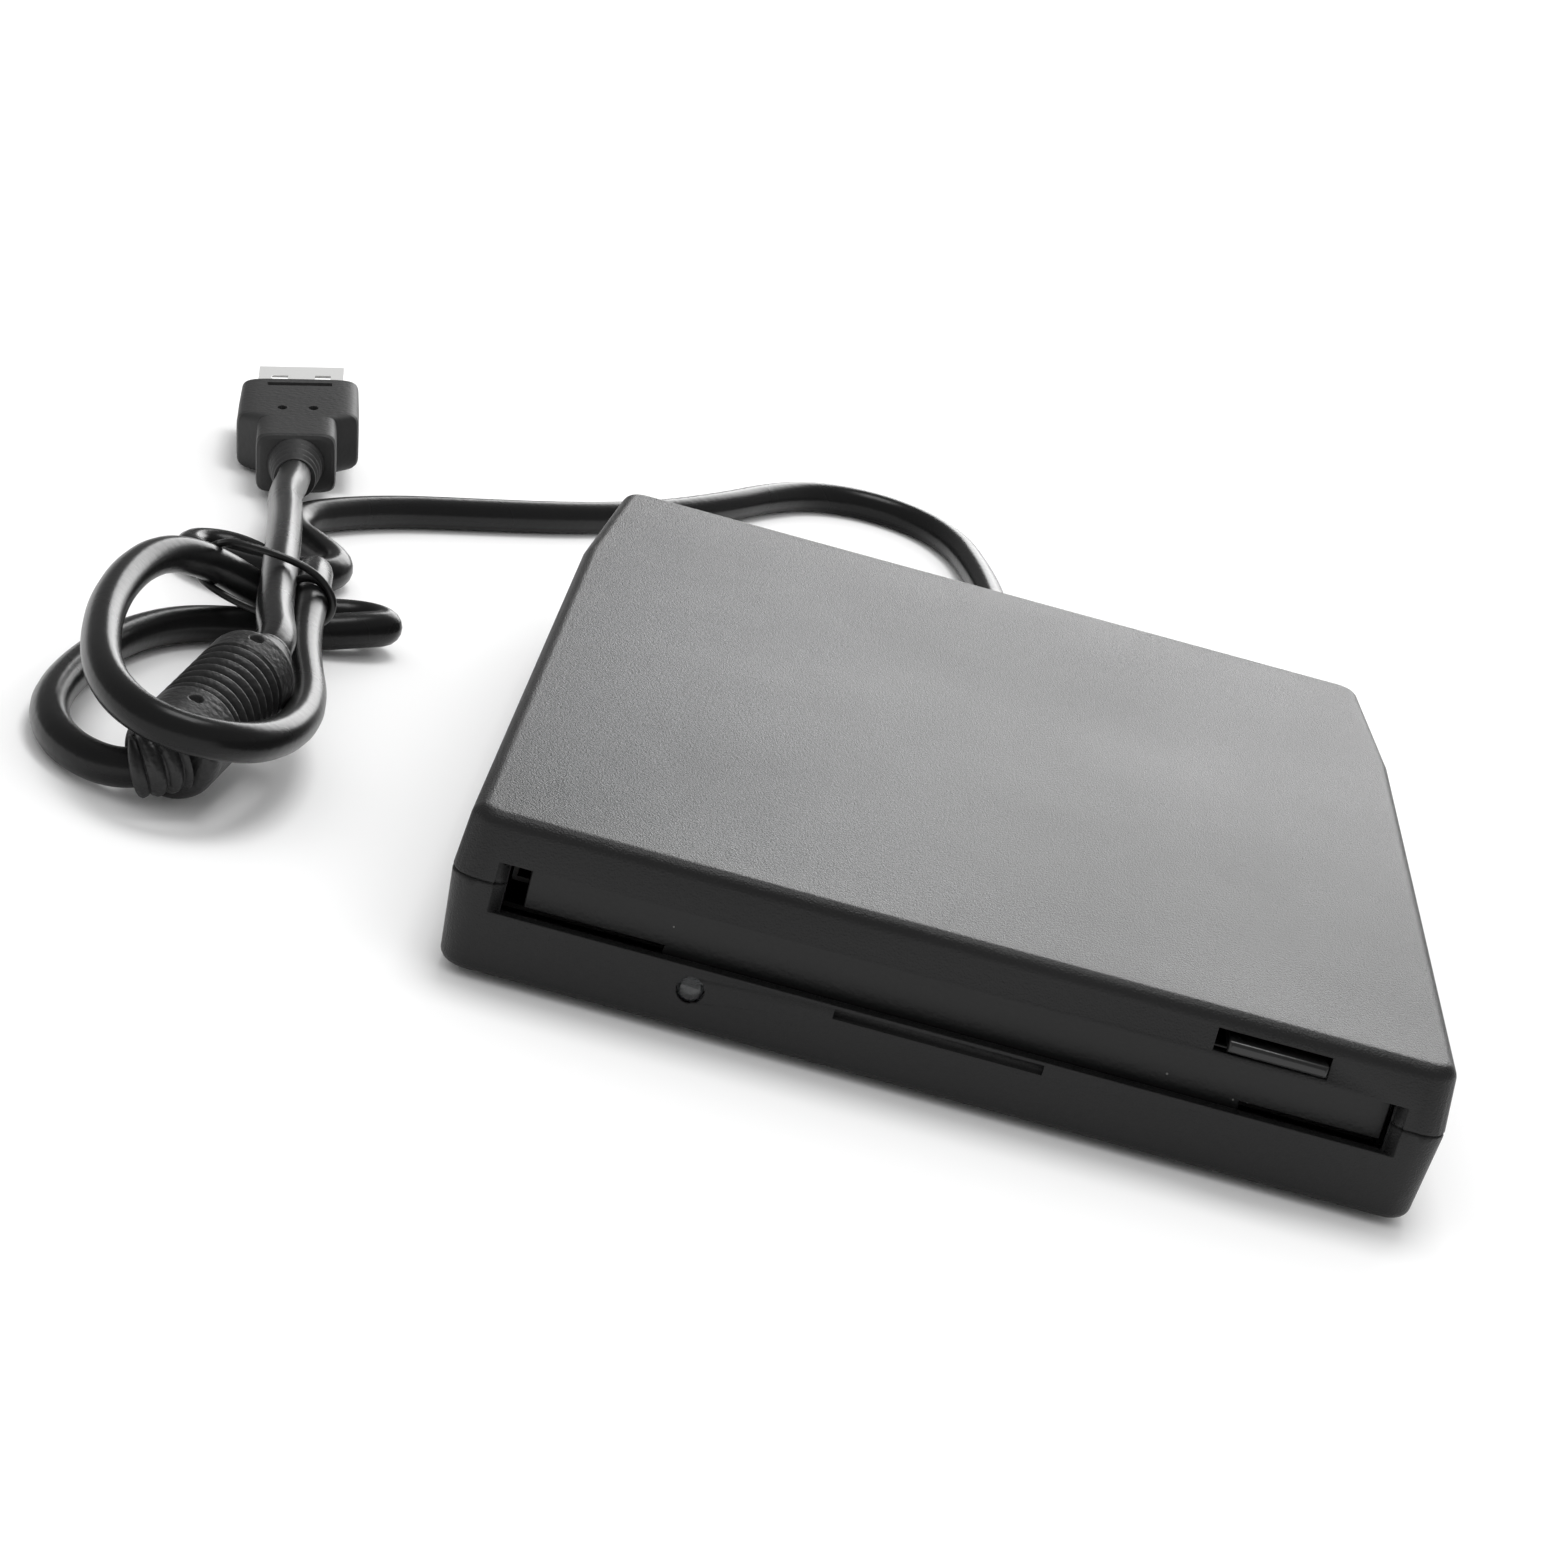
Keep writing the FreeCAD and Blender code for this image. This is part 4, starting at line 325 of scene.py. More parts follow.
def grid_mesh(name, points, material, close_u=False, close_v=False):
    """A mesh over a grid of points: rows run along v, columns along u, quads between them."""
    rows, columns = points.shape[:2]
    index = np.arange(rows * columns).reshape(rows, columns)
    if close_u:
        index = np.concatenate([index, index[:, :1]], axis=1)
    if close_v:
        index = np.concatenate([index, index[:1]], axis=0)
    quads = np.stack([index[:-1, :-1], index[:-1, 1:], index[1:, 1:], index[1:, :-1]], axis=-1)
    mesh = bpy.data.meshes.new(name)
    mesh.from_pydata(points.reshape(-1, 3), [], quads.reshape(-1, 4).tolist())
    work = bmesh.new()
    work.from_mesh(mesh)
    bmesh.ops.remove_doubles(work, verts=work.verts, dist=1e-7)
    bmesh.ops.dissolve_degenerate(work, edges=work.edges, dist=1e-8)
    bmesh.ops.recalc_face_normals(work, faces=work.faces)
    work.to_mesh(mesh)
    work.free()
    mesh.materials.append(material)
    mesh.shade_smooth()
    piece = bpy.data.objects.new(name, mesh)
    bpy.context.scene.collection.objects.link(piece)
    return piece


def turned(name, start, end, along, radius, material, around=96, shape=None):
    """A surface of revolution: radius against distance along the line from start to end.

    shape, where given, is a function of (distance, angle) arrays that is added to the radius.
    """
    start = np.array(start)
    axis = np.array(end) - start
    axis = axis / np.linalg.norm(axis)
    side = np.cross(axis, (0.0, 0.0, 1.0))
    side = side / np.linalg.norm(side)
    up = np.cross(side, axis)
    angle = np.linspace(0, 2 * np.pi, around, endpoint=False)
    s, a = np.meshgrid(along, angle, indexing="ij")
    r = np.repeat(np.array(radius)[:, None], around, axis=1)
    if shape is not None:
        r = np.where(r > 0, r + shape(s, a), 0)
    points = (start + s[..., None] * axis + (r * np.cos(a))[..., None] * side
              + (r * np.sin(a))[..., None] * up)
    return grid_mesh(name, points, material, close_u=True)


LAMP_X = -25.3 * MM
LAMP_Z = 5.34 * MM
LENS_RADIUS = 1.4 * MM
lens_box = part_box("led_lens")
LENS_FRONT = lens_box[0][1]
LENS_BACK = lens_box[1][1]
DOME_HEIGHT = 0.9 * MM
dome_angle = np.linspace(0, np.pi / 2, 16)
dome_along = np.concatenate([DOME_HEIGHT * (1 - np.cos(dome_angle)),
                             [LENS_BACK - LENS_FRONT] * 2])
dome_radius = np.concatenate([LENS_RADIUS * np.sin(dome_angle), [LENS_RADIUS, 0.0]])
lamp_lens = turned("lamp_lens", (LAMP_X, LENS_FRONT, LAMP_Z), (LAMP_X, LENS_BACK, LAMP_Z),
                   dome_along, dome_radius, clear_finish, around=48)
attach(lamp_lens, "case")
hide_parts("led_lens")

# Lead: a round black PVC cord with a soft sheen. It leaves the gland in the back wall, comes
# round the drive and lies in a tied bundle, and its tail runs from the bead to the plug.
cord_finish = plastic("cord black", (0.006, 0.006, 0.0061), (0.012, 0.012, 0.0122), 0.27, 900.0,
                      0.00002, specks=0.002, speck=0.15, specular=0.2)
CORD = 4.4 * MM
# The route in millimetres, set against the photograph; FLOOR_Z is the height of the
# cord's middle where it lies on the table.
FLOOR_Z = 2.25
LEAD_POINTS = [
    (4, 84, 7.2), (4, 93.5, 6.6), (4.3, 103, 3.8), (4.2, 113, FLOOR_Z), (2.8, 127, FLOOR_Z),
    (0.4, 140, FLOOR_Z), (-2.6, 151.3, FLOOR_Z), (-8.2, 159.2, FLOOR_Z), (-17, 161.8, FLOOR_Z),
    (-25.6, 157.8, FLOOR_Z), (-31.6, 148.8, FLOOR_Z), (-37.6, 136, FLOOR_Z),
    (-46.5, 120.5, FLOOR_Z), (-57.5, 107.4, FLOOR_Z), (-68.5, 96.9, FLOOR_Z), (-74, 91.8, FLOOR_Z)]
BUNDLE_POINTS = [
    (-79.4, 86.4, FLOOR_Z), (-84.9, 79.2, FLOOR_Z), (-89.3, 71.3, FLOOR_Z), (-89.1, 63.8, FLOOR_Z),
    (-84.9, 59, 2.4), (-80.7, 53, 2.4), (-82.6, 46.4, 2.4), (-88.6, 46.3, FLOOR_Z),
    (-94, 49.8, FLOOR_Z), (-98.8, 47.3, FLOOR_Z), (-98.7, 41.7, 2.4), (-93.8, 38.7, 3),
    (-87.6, 36.5, 3.7), (-82.1, 33.1, 6.5), (-81.1, 26.6, 8.7), (-79.9, 15, 8.7),
    (-77.8, -2.8, 7.8), (-73.6, -19.6, 7.2), (-73.7, -36.4, 8.6), (-77.5, -47.8, 10),
    (-86.4, -50.8, 10.9), (-93.8, -41.4, 11.3), (-98, -22, 11.7), (-98.8, -4.3, 12),
    (-96.9, 8.3, 11.8), (-92.7, 14.9, 10.2), (-87.9, 22.3, 6.4), (-82.5, 28.9, FLOOR_Z),
    (-77.8, 32, 2.6), (-73.6, 32.3, 3.2), (-71.2, 29.6, 3.5), (-73.8, 26.4, 3.5),
    (-79.8, 22.2, 2.5), (-87.8, 19.3, FLOOR_Z), (-94.3, 12.4, 2.4), (-98.2, 3, 2.4),
    (-100.2, -8, 2.4), (-101, -19.5, 2.4), (-100.5, -28.8, 2.4), (-98.2, -36.6, 2.4),
    (-94.6, -41.6, 2.5), (-90.6, -44.7, 3), (-86.9, -46, 4.2), (-84.48, -43.48, 5.82)]
TAIL_POINTS = [
    (-79.98, -18.29, 10.43), (-79.01, -14.48, 11.44), (-81.74, -2.04, 10.9), (-83.43, 10.11, 10.6),
    (-85.08, 22.64, 10.4), (-86.85, 35.63, 9.56), (-88.73, 49.03, 8.45), (-90.81, 61.24, 7.5),
    (-91.33, 72.57, 6.6), (-92.27, 80.25, 5.64)]


def smooth_curve(name, points, radius, material):
    """A round cord on one NURBS spline whose control points are the route, in millimetres."""
    data = bpy.data.curves.new(name, "CURVE")
    data.dimensions = "3D"
    data.bevel_depth = radius
    data.bevel_resolution = 7
    data.resolution_u = 10
    data.use_fill_caps = True
    spline = data.splines.new("NURBS")
    spline.points.add(len(points) - 1)
    for spot, place in zip(spline.points, points):
        spot.co = (*(c * MM for c in place), 1.0)
    spline.order_u = 3
    spline.use_endpoint_u = True
    data.materials.append(material)
    piece = bpy.data.objects.new(name, data)
    bpy.context.scene.collection.objects.link(piece)
    return piece


lead = smooth_curve("lead_cord", LEAD_POINTS + BUNDLE_POINTS, CORD / 2, cord_finish)
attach(lead, "case")
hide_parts("usb_lead", "usb_bundle")
tail = smooth_curve("tail_cord", TAIL_POINTS, CORD / 2, cord_finish)
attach(tail, "case")
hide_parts("usb_tail")

# Ferrite bead: a moulded jacket round the ferrite, with seven round ribs between two plain
# ends, a vent pit near each end, and boots that bend with the cord.
bead_finish = plastic("bead black", (0.008, 0.008, 0.0082), (0.022, 0.022, 0.0222), 0.45, 1400.0,
                      0.00012, specks=0.03, specular=0.45)
BEAD_NEAR = np.array((-84.65, -44.44, 5.65)) * MM
BEAD_FAR = np.array((-80.5, -21.2, 9.9)) * MM
BEAD_RADIUS = 5.3 * MM
BEAD_CORNER = 1.4 * MM
NECK_LENGTH = 3.0 * MM
BEAD_RIBS = 7
RIB_PITCH = 1.75 * MM
RIB_DEPTH = 0.75 * MM
RIBS_MIDDLE = 13.0 * MM
bead_length = float(np.linalg.norm(BEAD_FAR - BEAD_NEAR))


def bead_radius(s):
    """Plain ends with rounded corners, and between them ribs as raised half waves."""
    ribs = np.abs(np.cos(np.pi * (s - RIBS_MIDDLE) / RIB_PITCH))
    ribbed = np.abs(s - RIBS_MIDDLE) < RIB_PITCH * BEAD_RIBS / 2
    corner = np.clip((np.abs(s - bead_length / 2) - bead_length / 2) / BEAD_CORNER + 1, 0, 1)
    return (BEAD_RADIUS - np.where(ribbed, RIB_DEPTH * (1 - ribs ** 0.7), 0.0)
            - BEAD_CORNER * (1 - np.sqrt(1 - corner ** 2)))


PIT_ALONG = (4.6 * MM, bead_length - 2.4 * MM)
PIT_ANGLE = math.radians(84.0)
PIT_DEPTH = 0.9 * MM
PIT_RADIUS = 0.62 * MM


def bead_pits(s, a):
    """Two small round pits in the jacket's top, near its ends."""
    hollow = np.zeros_like(s)
    for place in PIT_ALONG:
        away = np.hypot(s - place, (a - PIT_ANGLE) * BEAD_RADIUS)
        hollow = hollow - PIT_DEPTH * np.clip(1.25 - away / PIT_RADIUS, 0, 1) ** 0.5
    return hollow


NECK_STEPS = np.array([0, 0.1, 0.5, 1, 1])
NECK_RADII = np.array([3.9, 3.7, 3.4, 3.2, 0]) * MM
NEAR_END_RADII = (0, 2.4 * MM)
jacket_along = np.linspace(0, bead_length, 190)
bead_along = np.concatenate([[0, 0], jacket_along, bead_length + NECK_LENGTH * NECK_STEPS])
bead_profile = np.concatenate([NEAR_END_RADII, bead_radius(jacket_along), NECK_RADII])
bead = turned("bead_jacket", BEAD_NEAR, BEAD_FAR, bead_along, bead_profile, bead_finish,
              around=220, shape=bead_pits)
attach(bead, "case")
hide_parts("ferrite_bead")


def spline_points(piece):
    """Points along a cord's own spline, in order, with the bevel left out."""
    plain = piece.data.copy()
    plain.bevel_depth = 0.0
    holder = bpy.data.objects.new("holder", plain)
    mesh = bpy.data.meshes.new_from_object(holder)
    points = np.array([v.co for v in mesh.vertices])
    bpy.data.objects.remove(holder)
    return points


def sleeve(name, path, reach, radius, material, from_end=False, around=56, steps=90):
    """A tube on the first or last stretch of a path, its radius a function of distance."""
    points = path[::-1] if from_end else path
    run = np.concatenate([[0], np.cumsum(np.linalg.norm(np.diff(points, axis=0), axis=1))])
    s = np.linspace(0, reach, steps)
    centre = np.stack([np.interp(s, run, points[:, k]) for k in range(3)], axis=1)
    tangent = np.gradient(centre, axis=0)
    tangent = tangent / np.linalg.norm(tangent, axis=1)[:, None]
    side = np.cross(tangent, (0.0, 0.0, 1.0))
    side = side / np.linalg.norm(side, axis=1)[:, None]
    up = np.cross(side, tangent)
    angle = np.linspace(0, 2 * np.pi, around, endpoint=False)
    r = radius(s)[:, None, None]
    points = (centre[:, None] + r * np.cos(angle)[None, :, None] * side[:, None]
              + r * np.sin(angle)[None, :, None] * up[:, None])
    return grid_mesh(name, points, material, close_u=True)


lead_line = spline_points(lead)
tail_line = spline_points(tail)
BOOT_HUG = CORD / 2 * 0.98
NEAR_BOOT = 4.4 * MM
NEAR_BOOT_RADIUS = 4.3 * MM
NEAR_BOOT_TAPER = 0.9 * MM
RIDGE_PITCH = 1.35 * MM
RIDGE_DEPTH = 0.55 * MM
FAR_BOOT = 1.6 * MM
FAR_BOOT_WALL = 1.05 * MM
FAR_BOOT_TAPER = 0.5 * MM
NEAR_LIP = 0.35 * MM
FAR_LIP = 0.4 * MM


def near_boot_radius(s):
    """A boot of thick round ridges that thins towards the cord and closes on it at its end."""
    ridge = np.abs(np.cos(np.pi * s / RIDGE_PITCH)) ** 0.6
    taper = NEAR_BOOT_RADIUS - NEAR_BOOT_TAPER * s / NEAR_BOOT
    lip = np.clip((NEAR_BOOT - s) / NEAR_LIP, 0, 1) ** 0.5
    return BOOT_HUG + (taper - CORD / 2 - RIDGE_DEPTH * (1 - ridge)) * lip


def far_boot_radius(s):
    """A short plain boot that thins towards the cord."""
    lip = np.clip((FAR_BOOT - s) / FAR_LIP, 0, 1) ** 0.5
    return BOOT_HUG + (FAR_BOOT_WALL - FAR_BOOT_TAPER * s / FAR_BOOT) * lip


near_boot = sleeve("bead_near_boot", lead_line, NEAR_BOOT, near_boot_radius, bead_finish,
                   from_end=True)
far_boot = sleeve("bead_far_boot", tail_line, FAR_BOOT, far_boot_radius, bead_finish)
for boot in (near_boot, far_boot):
    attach(boot, "case")

# Plug: one overmoulding from the ribbed boot to the grip, lofted from rounded-square
# sections along the plug's axis, with a shallow bar and two dots pressed in its top.
plug_finish = plastic("plug grey", (0.020, 0.020, 0.0202), (0.030, 0.030, 0.0302), 0.55, 1500.0,
                      0.00005, specular=0.4)
PLUG_FROM = np.array((-92.27, 80.25, 5.64)) * MM
PLUG_YAW = math.radians(8.6)
PLUG_ROLL = math.radians(-12.5)
yaw = np.array([[math.cos(PLUG_YAW), -math.sin(PLUG_YAW), 0],
                [math.sin(PLUG_YAW), math.cos(PLUG_YAW), 0], [0, 0, 1]])
roll = np.array([[math.cos(PLUG_ROLL), 0, math.sin(PLUG_ROLL)], [0, 1, 0],
                 [-math.sin(PLUG_ROLL), 0, math.cos(PLUG_ROLL)]])
plug_turn = yaw @ roll
# Stations along the axis with half width, half height and squareness, all in millimetres
PLUG_STATIONS = np.array([
    (-3.2, 1e-5, 1e-5, 2), (-3.2, 2.7, 2.7, 2), (-2.9, 2.85, 2.85, 2), (4.0, 3.75, 3.6, 2),
    (4.0, 4.7, 3.5, 5), (4.3, 5.15, 3.9, 6), (5.0, 5.3, 4.03, 7), (14.2, 5.35, 4.05, 7),
    (16.3, 8.0, 4.05, 7), (17.0, 8.22, 4.06, 7), (25.0, 8.22, 4.07, 7), (34.9, 8.1, 4.0, 7),
    (36.1, 7.8, 3.6, 6), (36.65, 7.2, 3.0, 5), (36.7, 6.0, 2.2, 6), (36.7, 1e-5, 1e-5, 6)])
BOOT_RIBS = 4
BOOT_SPAN = (-3.1, 3.9)
NOTCH_DEPTH = 0.36
TOP_SHARE = 0.8
PRESSED = 0.9
BAR_AT = 31.9
BAR_HALF = (4.3, 0.8)
DOTS_AT = 18.6
DOT_OFF = 2.1
DOT_HALF_WIDTH = 0.6
stations = PLUG_STATIONS[:, 0] + np.arange(len(PLUG_STATIONS)) * 1e-6
plug_s = np.unique(np.concatenate([stations, np.linspace(stations[0], stations[-1], 250)]))
half_w = np.interp(plug_s, stations, PLUG_STATIONS[:, 1])[:, None]
half_h = np.interp(plug_s, stations, PLUG_STATIONS[:, 2])[:, None]
square = np.interp(plug_s, stations, PLUG_STATIONS[:, 3])[:, None]
boot_share = (plug_s - BOOT_SPAN[0]) / (BOOT_SPAN[1] - BOOT_SPAN[0])
notch = NOTCH_DEPTH / 2 * (1 - np.cos(2 * np.pi * BOOT_RIBS * boot_share))
notch = np.where((boot_share > 0) & (boot_share < 1), notch, 0)[:, None]
turn = np.linspace(0, 2 * np.pi, 300, endpoint=False)[None]
reach = (np.abs(np.cos(turn) / (half_w - notch)) ** square
         + np.abs(np.sin(turn) / (half_h - notch)) ** square) ** (-1 / square)
local_x = reach * np.cos(turn)
local_z = reach * np.sin(turn)
along = np.repeat(plug_s[:, None], turn.shape[1], axis=1)
on_top = local_z > TOP_SHARE * half_h
bar = on_top & (np.abs(local_x) < BAR_HALF[0]) & (np.abs(along - BAR_AT) < BAR_HALF[1])
dots = on_top & (np.hypot((np.abs(local_x) - DOT_OFF) / DOT_HALF_WIDTH, along - DOTS_AT) < 1)
local_z = local_z - np.where(bar | dots, PRESSED, 0)
local = np.stack([local_x, along, local_z], axis=-1) * MM
grip = grid_mesh("plug_grip", local @ plug_turn.T + PLUG_FROM, plug_finish, close_u=True)
grip.data.set_sharp_from_angle(angle=CREASE)
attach(grip, "case")
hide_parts("plug_body")

# Plug shell: folded nickel-plated steel with two latch windows in each broad side, held in
# the plug's overmoulding.
nickel_finish, nickel_shader = new_material("nickel plate")
nickel_tree = nickel_finish.node_tree
nickel_texture = place_group(nickel_tree, grain_group, Grains_per_metre=1200.0)
wire(nickel_tree, blend_colours(nickel_tree, nickel_texture.outputs["Patch"], (0.74, 0.74, 0.73),
                                (0.84, 0.84, 0.83)), nickel_shader.inputs["Base Color"])
nickel_bump = add(nickel_tree, "ShaderNodeBump", Strength=0.3, Distance=0.00002)
wire(nickel_tree, nickel_texture.outputs["Grain"], nickel_bump.inputs["Height"])
wire(nickel_tree, nickel_bump.outputs["Normal"], nickel_shader.inputs["Normal"])
nickel_shader.inputs["Metallic"].default_value = 0.3
nickel_shader.inputs["Roughness"].default_value = 0.35
shell = finished_copy("plug_shell", "plug_sleeve", nickel_finish, bevel=0.1 * MM)

# Twist tie: coated wire wound over the strands where they cross, its ends left standing,
# and a second turn round the one strand that it is hooked on.
tie_finish = plastic("tie black", (0.008, 0.008, 0.008), (0.014, 0.014, 0.014), 0.3, 2500.0,
                     0.00002, specular=0.5)
TIE_WIRE = 0.45 * MM
TIE_POINTS = [
    (-91.6, 14.6, 12.6), (-90.6, 13.4, 13.5), (-88.6, 13.0, 13.7), (-86.7, 13.0, 13.7),
    (-84.0, 13.1, 13.5), (-81.4, 13.1, 13.1), (-78.9, 13.2, 12.1), (-77.0, 13.5, 10.0),
    (-76.9, 13.8, 7.8), (-78.2, 14.2, 6.1), (-81.5, 14.8, 5.6), (-85.5, 15.2, 5.6),
    (-89.5, 15.4, 6.2), (-93.4, 16.0, 7.4), (-94.2, 16.8, 9.2), (-93.2, 17.2, 11.0),
    (-91.6, 17.0, 12.2), (-89.6, 16.2, 12.9)]
tie = smooth_curve("tie_wire", TIE_POINTS, TIE_WIRE, tie_finish)
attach(tie, "case")
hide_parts("twist_tie")
HOOKED_AT = (-80.1, 14.4, 8.7)
HOOK_RADIUS = 2.75
HOOK_START = -0.9
HOOK_STEPS = 10
HOOK_RISE = 0.12
hook_points = []
for step in range(HOOK_STEPS + 1):
    lean = HOOK_START + 2 * math.pi * step / HOOK_STEPS
    hook_points.append((HOOKED_AT[0] + HOOK_RADIUS * math.cos(lean),
                        HOOKED_AT[1] + HOOK_RISE * step,
                        HOOKED_AT[2] + HOOK_RADIUS * math.sin(lean)))
hook = smooth_curve("tie_hook", hook_points, TIE_WIRE, tie_finish)
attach(hook, "case")


# Inside the drive: zinc-plated sheet coloured dark as painted shade, bright bar, spring wire,
# screws and brass, the boards, the windings and the ribbon cable. Every node takes the finish of
# its material slot.
def metal(name, low, high, roughness, stretch, grains, depth):
    """Metal with a directional grain: noise drawn out along one axis."""
    material, shader = new_material(name)
    tree = material.node_tree
    at = add(tree, "ShaderNodeTexCoord")
    lay = add(tree, "ShaderNodeMapping")
    lay.inputs["Scale"].default_value = stretch
    noise = add(tree, "ShaderNodeTexNoise", Scale=grains, Detail=3.0)
    bump = add(tree, "ShaderNodeBump", Strength=0.4, Distance=depth)
    wire(tree, at.outputs["Object"], lay.inputs["Vector"])
    wire(tree, lay.outputs["Vector"], noise.inputs["Vector"])
    wire(tree, blend_colours(tree, noise.outputs["Fac"], low, high), shader.inputs["Base Color"])
    wire(tree, noise.outputs["Fac"], bump.inputs["Height"])
    wire(tree, bump.outputs["Normal"], shader.inputs["Normal"])
    shader.inputs["Metallic"].default_value = 1.0
    shader.inputs["Roughness"].default_value = roughness
    return material


def printed_board():
    """Green solder mask over copper tracks: square cells give the tracks' slight relief."""
    material, shader = new_material("board green")
    tree = material.node_tree
    at = add(tree, "ShaderNodeTexCoord")
    tracks = add(tree, "ShaderNodeTexBrick", Scale=420.0, Mortar_Size=0.06)
    bump = add(tree, "ShaderNodeBump", Strength=0.6, Distance=0.00004)
    wire(tree, at.outputs["Object"], tracks.inputs["Vector"])
    wire(tree, blend_colours(tree, tracks.outputs["Fac"], (0.012, 0.07, 0.03), (0.03, 0.14, 0.06)),
         shader.inputs["Base Color"])
    wire(tree, tracks.outputs["Fac"], bump.inputs["Height"])
    wire(tree, bump.outputs["Normal"], shader.inputs["Normal"])
    shader.inputs["Roughness"].default_value = 0.35
    return material


def banded(name, low, high, bands, roughness, metallic):
    """Fine parallel bands, as on a winding or a flat ribbon cable."""
    material, shader = new_material(name)
    tree = material.node_tree
    at = add(tree, "ShaderNodeTexCoord")
    wave = add(tree, "ShaderNodeTexWave", Scale=bands, Distortion=0.4)
    bump = add(tree, "ShaderNodeBump", Strength=0.6, Distance=0.0001)
    wire(tree, at.outputs["Object"], wave.inputs["Vector"])
    wire(tree, blend_colours(tree, wave.outputs["Fac"], low, high), shader.inputs["Base Color"])
    wire(tree, wave.outputs["Fac"], bump.inputs["Height"])
    wire(tree, bump.outputs["Normal"], shader.inputs["Normal"])
    shader.inputs["Metallic"].default_value = metallic
    shader.inputs["Roughness"].default_value = roughness
    return material


FINISHES = {
    "case_plastic": case_finish,
    "flap_plastic": flap_finish,
    "button_plastic": button_finish,
    "cord_pvc": cord_finish,
    "plug_plastic": plug_finish,
    "bead_plastic": bead_finish,
    "tie_plastic": tie_finish,
    "plug_metal": nickel_finish,
    # The clear lamp body is coloured near black: painted shade behind the lens.
    "clear_plastic": plastic("lamp body painted dark", (0.03, 0.03, 0.03), (0.12, 0.12, 0.12), 0.2, 1200.0,
                             0.0002),
    "foot_rubber": plastic("foot rubber", (0.02, 0.02, 0.02), (0.035, 0.035, 0.035), 0.8, 1800.0,
                           0.00008),
    "tongue_plastic": plastic("tongue white", (0.75, 0.75, 0.74), (0.82, 0.82, 0.81), 0.4, 1500.0,
                              0.00003),
    "black_plastic": plastic("black moulding", (0.014, 0.014, 0.014), (0.022, 0.022, 0.022), 0.5,
                             1600.0, 0.00005),
    "ribbon_white": banded("ribbon white", (0.62, 0.62, 0.6), (0.78, 0.78, 0.76), 900.0, 0.35, 0.0),
    "board_green": printed_board(),
    "copper": banded("copper winding", (0.5, 0.2, 0.08), (0.78, 0.38, 0.2), 1600.0, 0.3, 1.0),
    "magnet_grey": plastic("magnet grey", (0.06, 0.06, 0.06), (0.09, 0.09, 0.09), 0.55, 1500.0,
                           0.00006),
    "head_ceramic": plastic("head ceramic", (0.62, 0.62, 0.58), (0.7, 0.7, 0.66), 0.2, 1500.0,
                            0.00001),
    # The zinc sheet is coloured darker than plated steel: painted shade for its lip seen in the gap
    # behind the slot.
    "steel_sheet": metal("zinc sheet painted dark", (0.26, 0.26, 0.25), (0.36, 0.36, 0.35), 0.5, (1, 12, 12),
                         260.0, 0.00003),
    "steel_bright": metal("bright bar", (0.62, 0.62, 0.61), (0.74, 0.74, 0.73), 0.18, (4, 1, 4),
                          900.0, 0.00001),
    "spring_steel": metal("spring wire", (0.42, 0.42, 0.43), (0.56, 0.56, 0.56), 0.3, (1, 1, 1),
                          1500.0, 0.00002),
    "screw_steel": metal("screw steel", (0.2, 0.2, 0.2), (0.32, 0.32, 0.32), 0.36, (1, 1, 1),
                         1500.0, 0.00003),
    "brass": metal("turned brass", (0.58, 0.42, 0.16), (0.72, 0.55, 0.24), 0.28, (1, 1, 6), 800.0,
                   0.00002),
}
for part in frame["record"]["subparts"]:
    node = frame["nodes"][part["node"]]
    node.data.materials.clear()
    node.data.materials.append(FINISHES[part["material_slot"]])

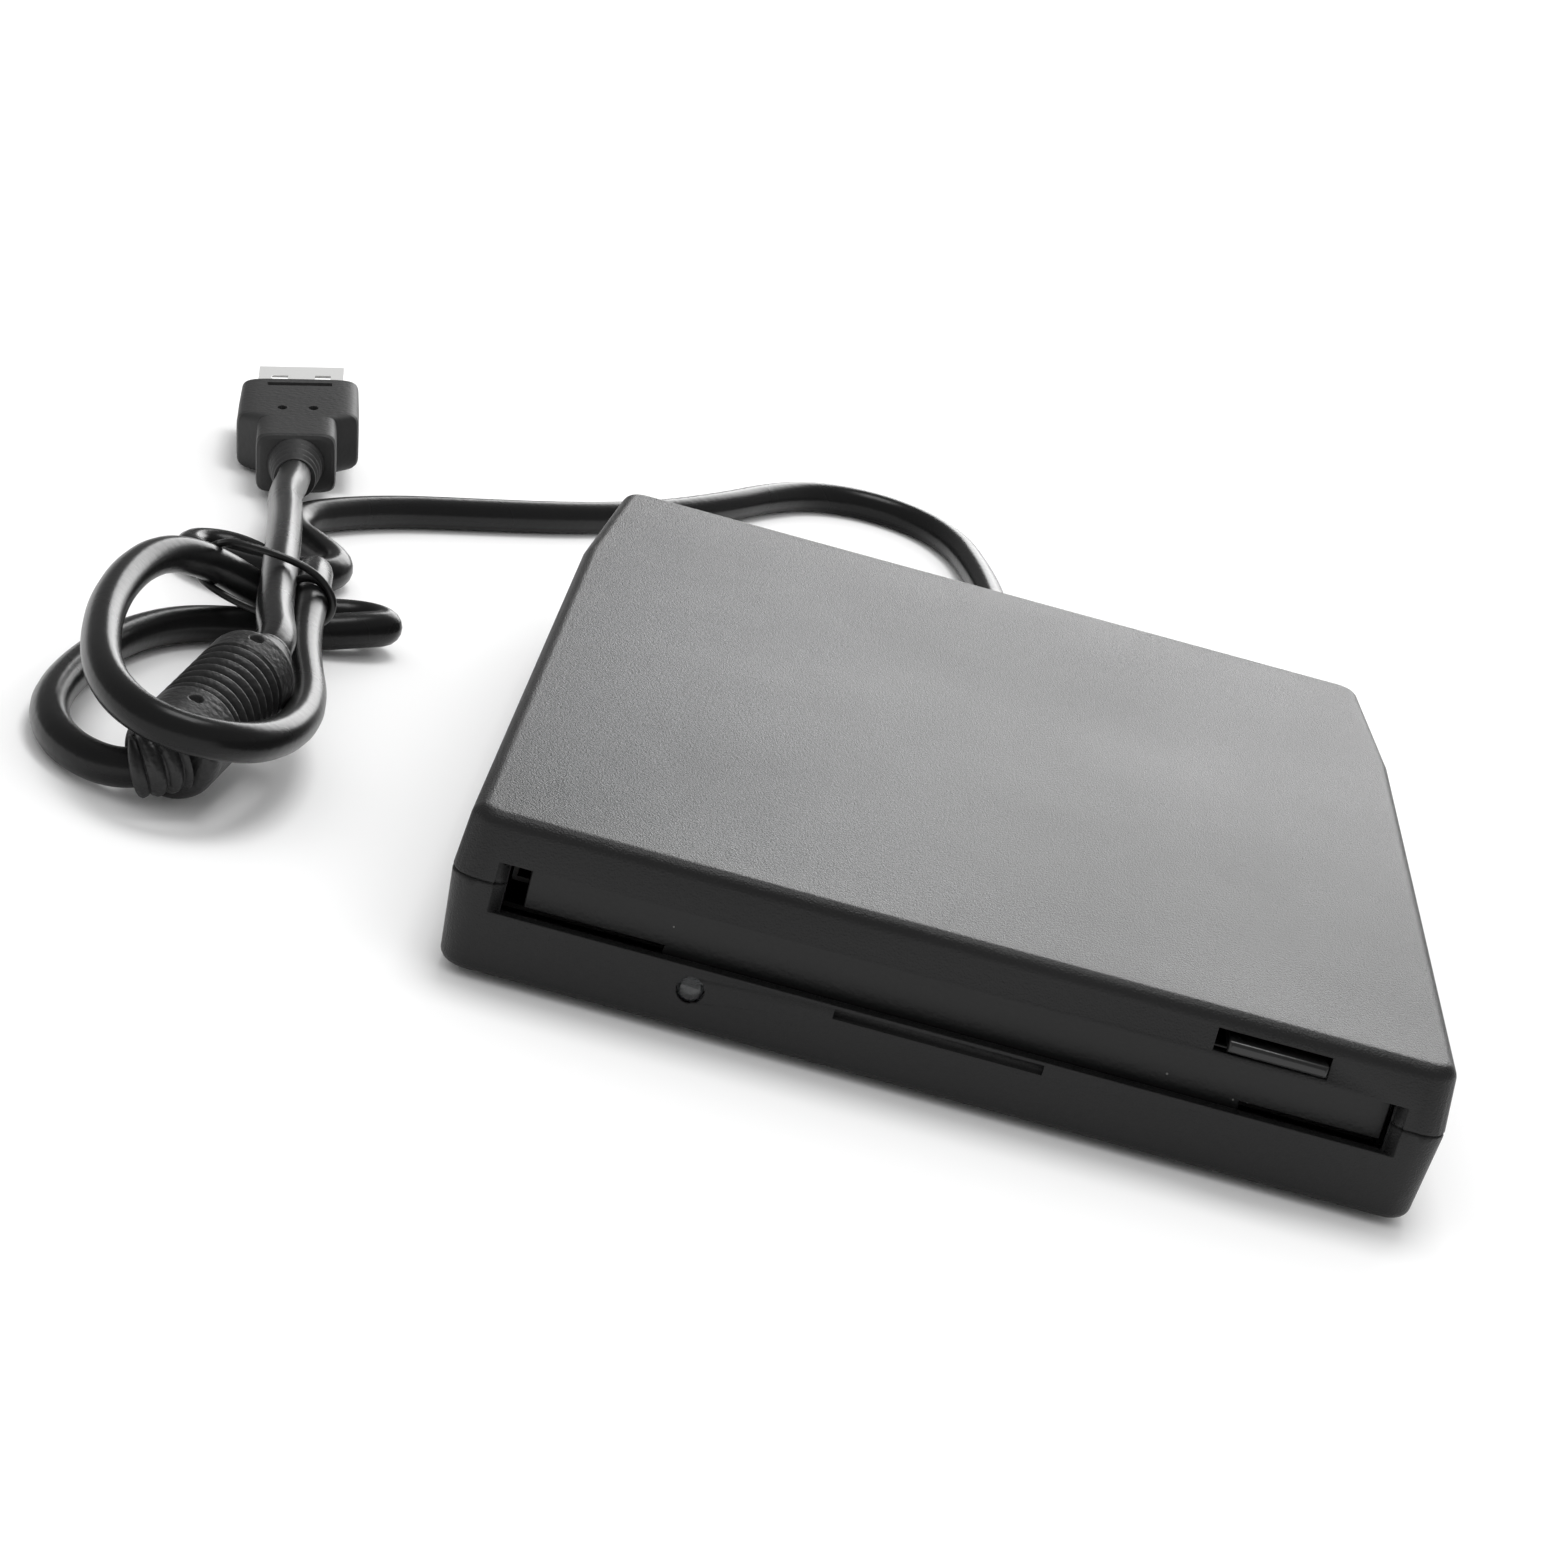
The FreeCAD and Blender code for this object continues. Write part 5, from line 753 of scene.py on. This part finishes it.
# Table: a pale seamless sheet that reads white round the object and keeps its soft shadow.
table_finish, table_shader = new_material("table white")
table_shader.inputs["Base Color"].default_value = (0.95, 0.95, 0.95, 1)
table_shader.inputs["Roughness"].default_value = 0.9
table_shader.inputs["Specular IOR Level"].default_value = 0.1
TABLE_HALF = 6.0
table_corners = [(-TABLE_HALF, -TABLE_HALF, 0), (TABLE_HALF, -TABLE_HALF, 0),
                 (TABLE_HALF, TABLE_HALF, 0), (-TABLE_HALF, TABLE_HALF, 0)]
table_mesh = bpy.data.meshes.new("table")
table_mesh.from_pydata(table_corners, [], [(0, 1, 2, 3)])
table_mesh.materials.append(table_finish)
table = bpy.data.objects.new("table", table_mesh)
bpy.context.scene.collection.objects.link(table)

# Light: surroundings that are white where the camera sees them and dimmer where they only
# light or are reflected, and two soft panels, one overhead and one low behind the drive.
SKY_LIT = 0.85
SKY_REFLECTED = 0.2
world = bpy.data.worlds.new("studio")
world.use_nodes = True
bpy.context.scene.world = world
sky = world.node_tree
fill = sky.nodes["Background"]
fill.inputs["Color"].default_value = (1, 1, 1, 1)
shown = add(sky, "ShaderNodeBackground")
shown.inputs["Color"].default_value = (1, 1, 1, 1)
ray = add(sky, "ShaderNodeLightPath")
seen = add(sky, "ShaderNodeMath", operation="MAXIMUM")
dimmed = add(sky, "ShaderNodeMix", data_type="FLOAT")
dimmed.inputs["A"].default_value = SKY_LIT
dimmed.inputs["B"].default_value = SKY_REFLECTED
pick = add(sky, "ShaderNodeMixShader")
wire(sky, ray.outputs["Is Glossy Ray"], dimmed.inputs["Factor"])
wire(sky, dimmed.outputs["Result"], fill.inputs["Strength"])
wire(sky, ray.outputs["Is Camera Ray"], seen.inputs[0])
wire(sky, ray.outputs["Is Transmission Ray"], seen.inputs[1])
wire(sky, seen.outputs["Value"], pick.inputs["Fac"])
wire(sky, fill.outputs["Background"], pick.inputs[1])
wire(sky, shown.outputs["Background"], pick.inputs[2])
wire(sky, pick.outputs["Shader"], sky.nodes["World Output"].inputs["Surface"])


def soft_panel(name, place, aim, width, height, watts):
    """A rectangular soft light that faces a point."""
    data = bpy.data.lights.new(name, "AREA")
    data.shape = "RECTANGLE"
    data.size = width
    data.size_y = height
    data.energy = watts
    lamp = bpy.data.objects.new(name, data)
    lamp.location = place
    lamp.rotation_mode = "QUATERNION"
    lamp.rotation_quaternion = (Vector(aim) - Vector(place)).to_track_quat("-Z", "Y")
    bpy.context.scene.collection.objects.link(lamp)


soft_panel("high_panel", (0, 0.27, 1.2), (0, 0, 0), 0.5, 0.5, 5.5)
soft_panel("back_panel", (0.3, 2.0, 0.6), (0, 0, 0), 1.0, 1.0, 14.5)
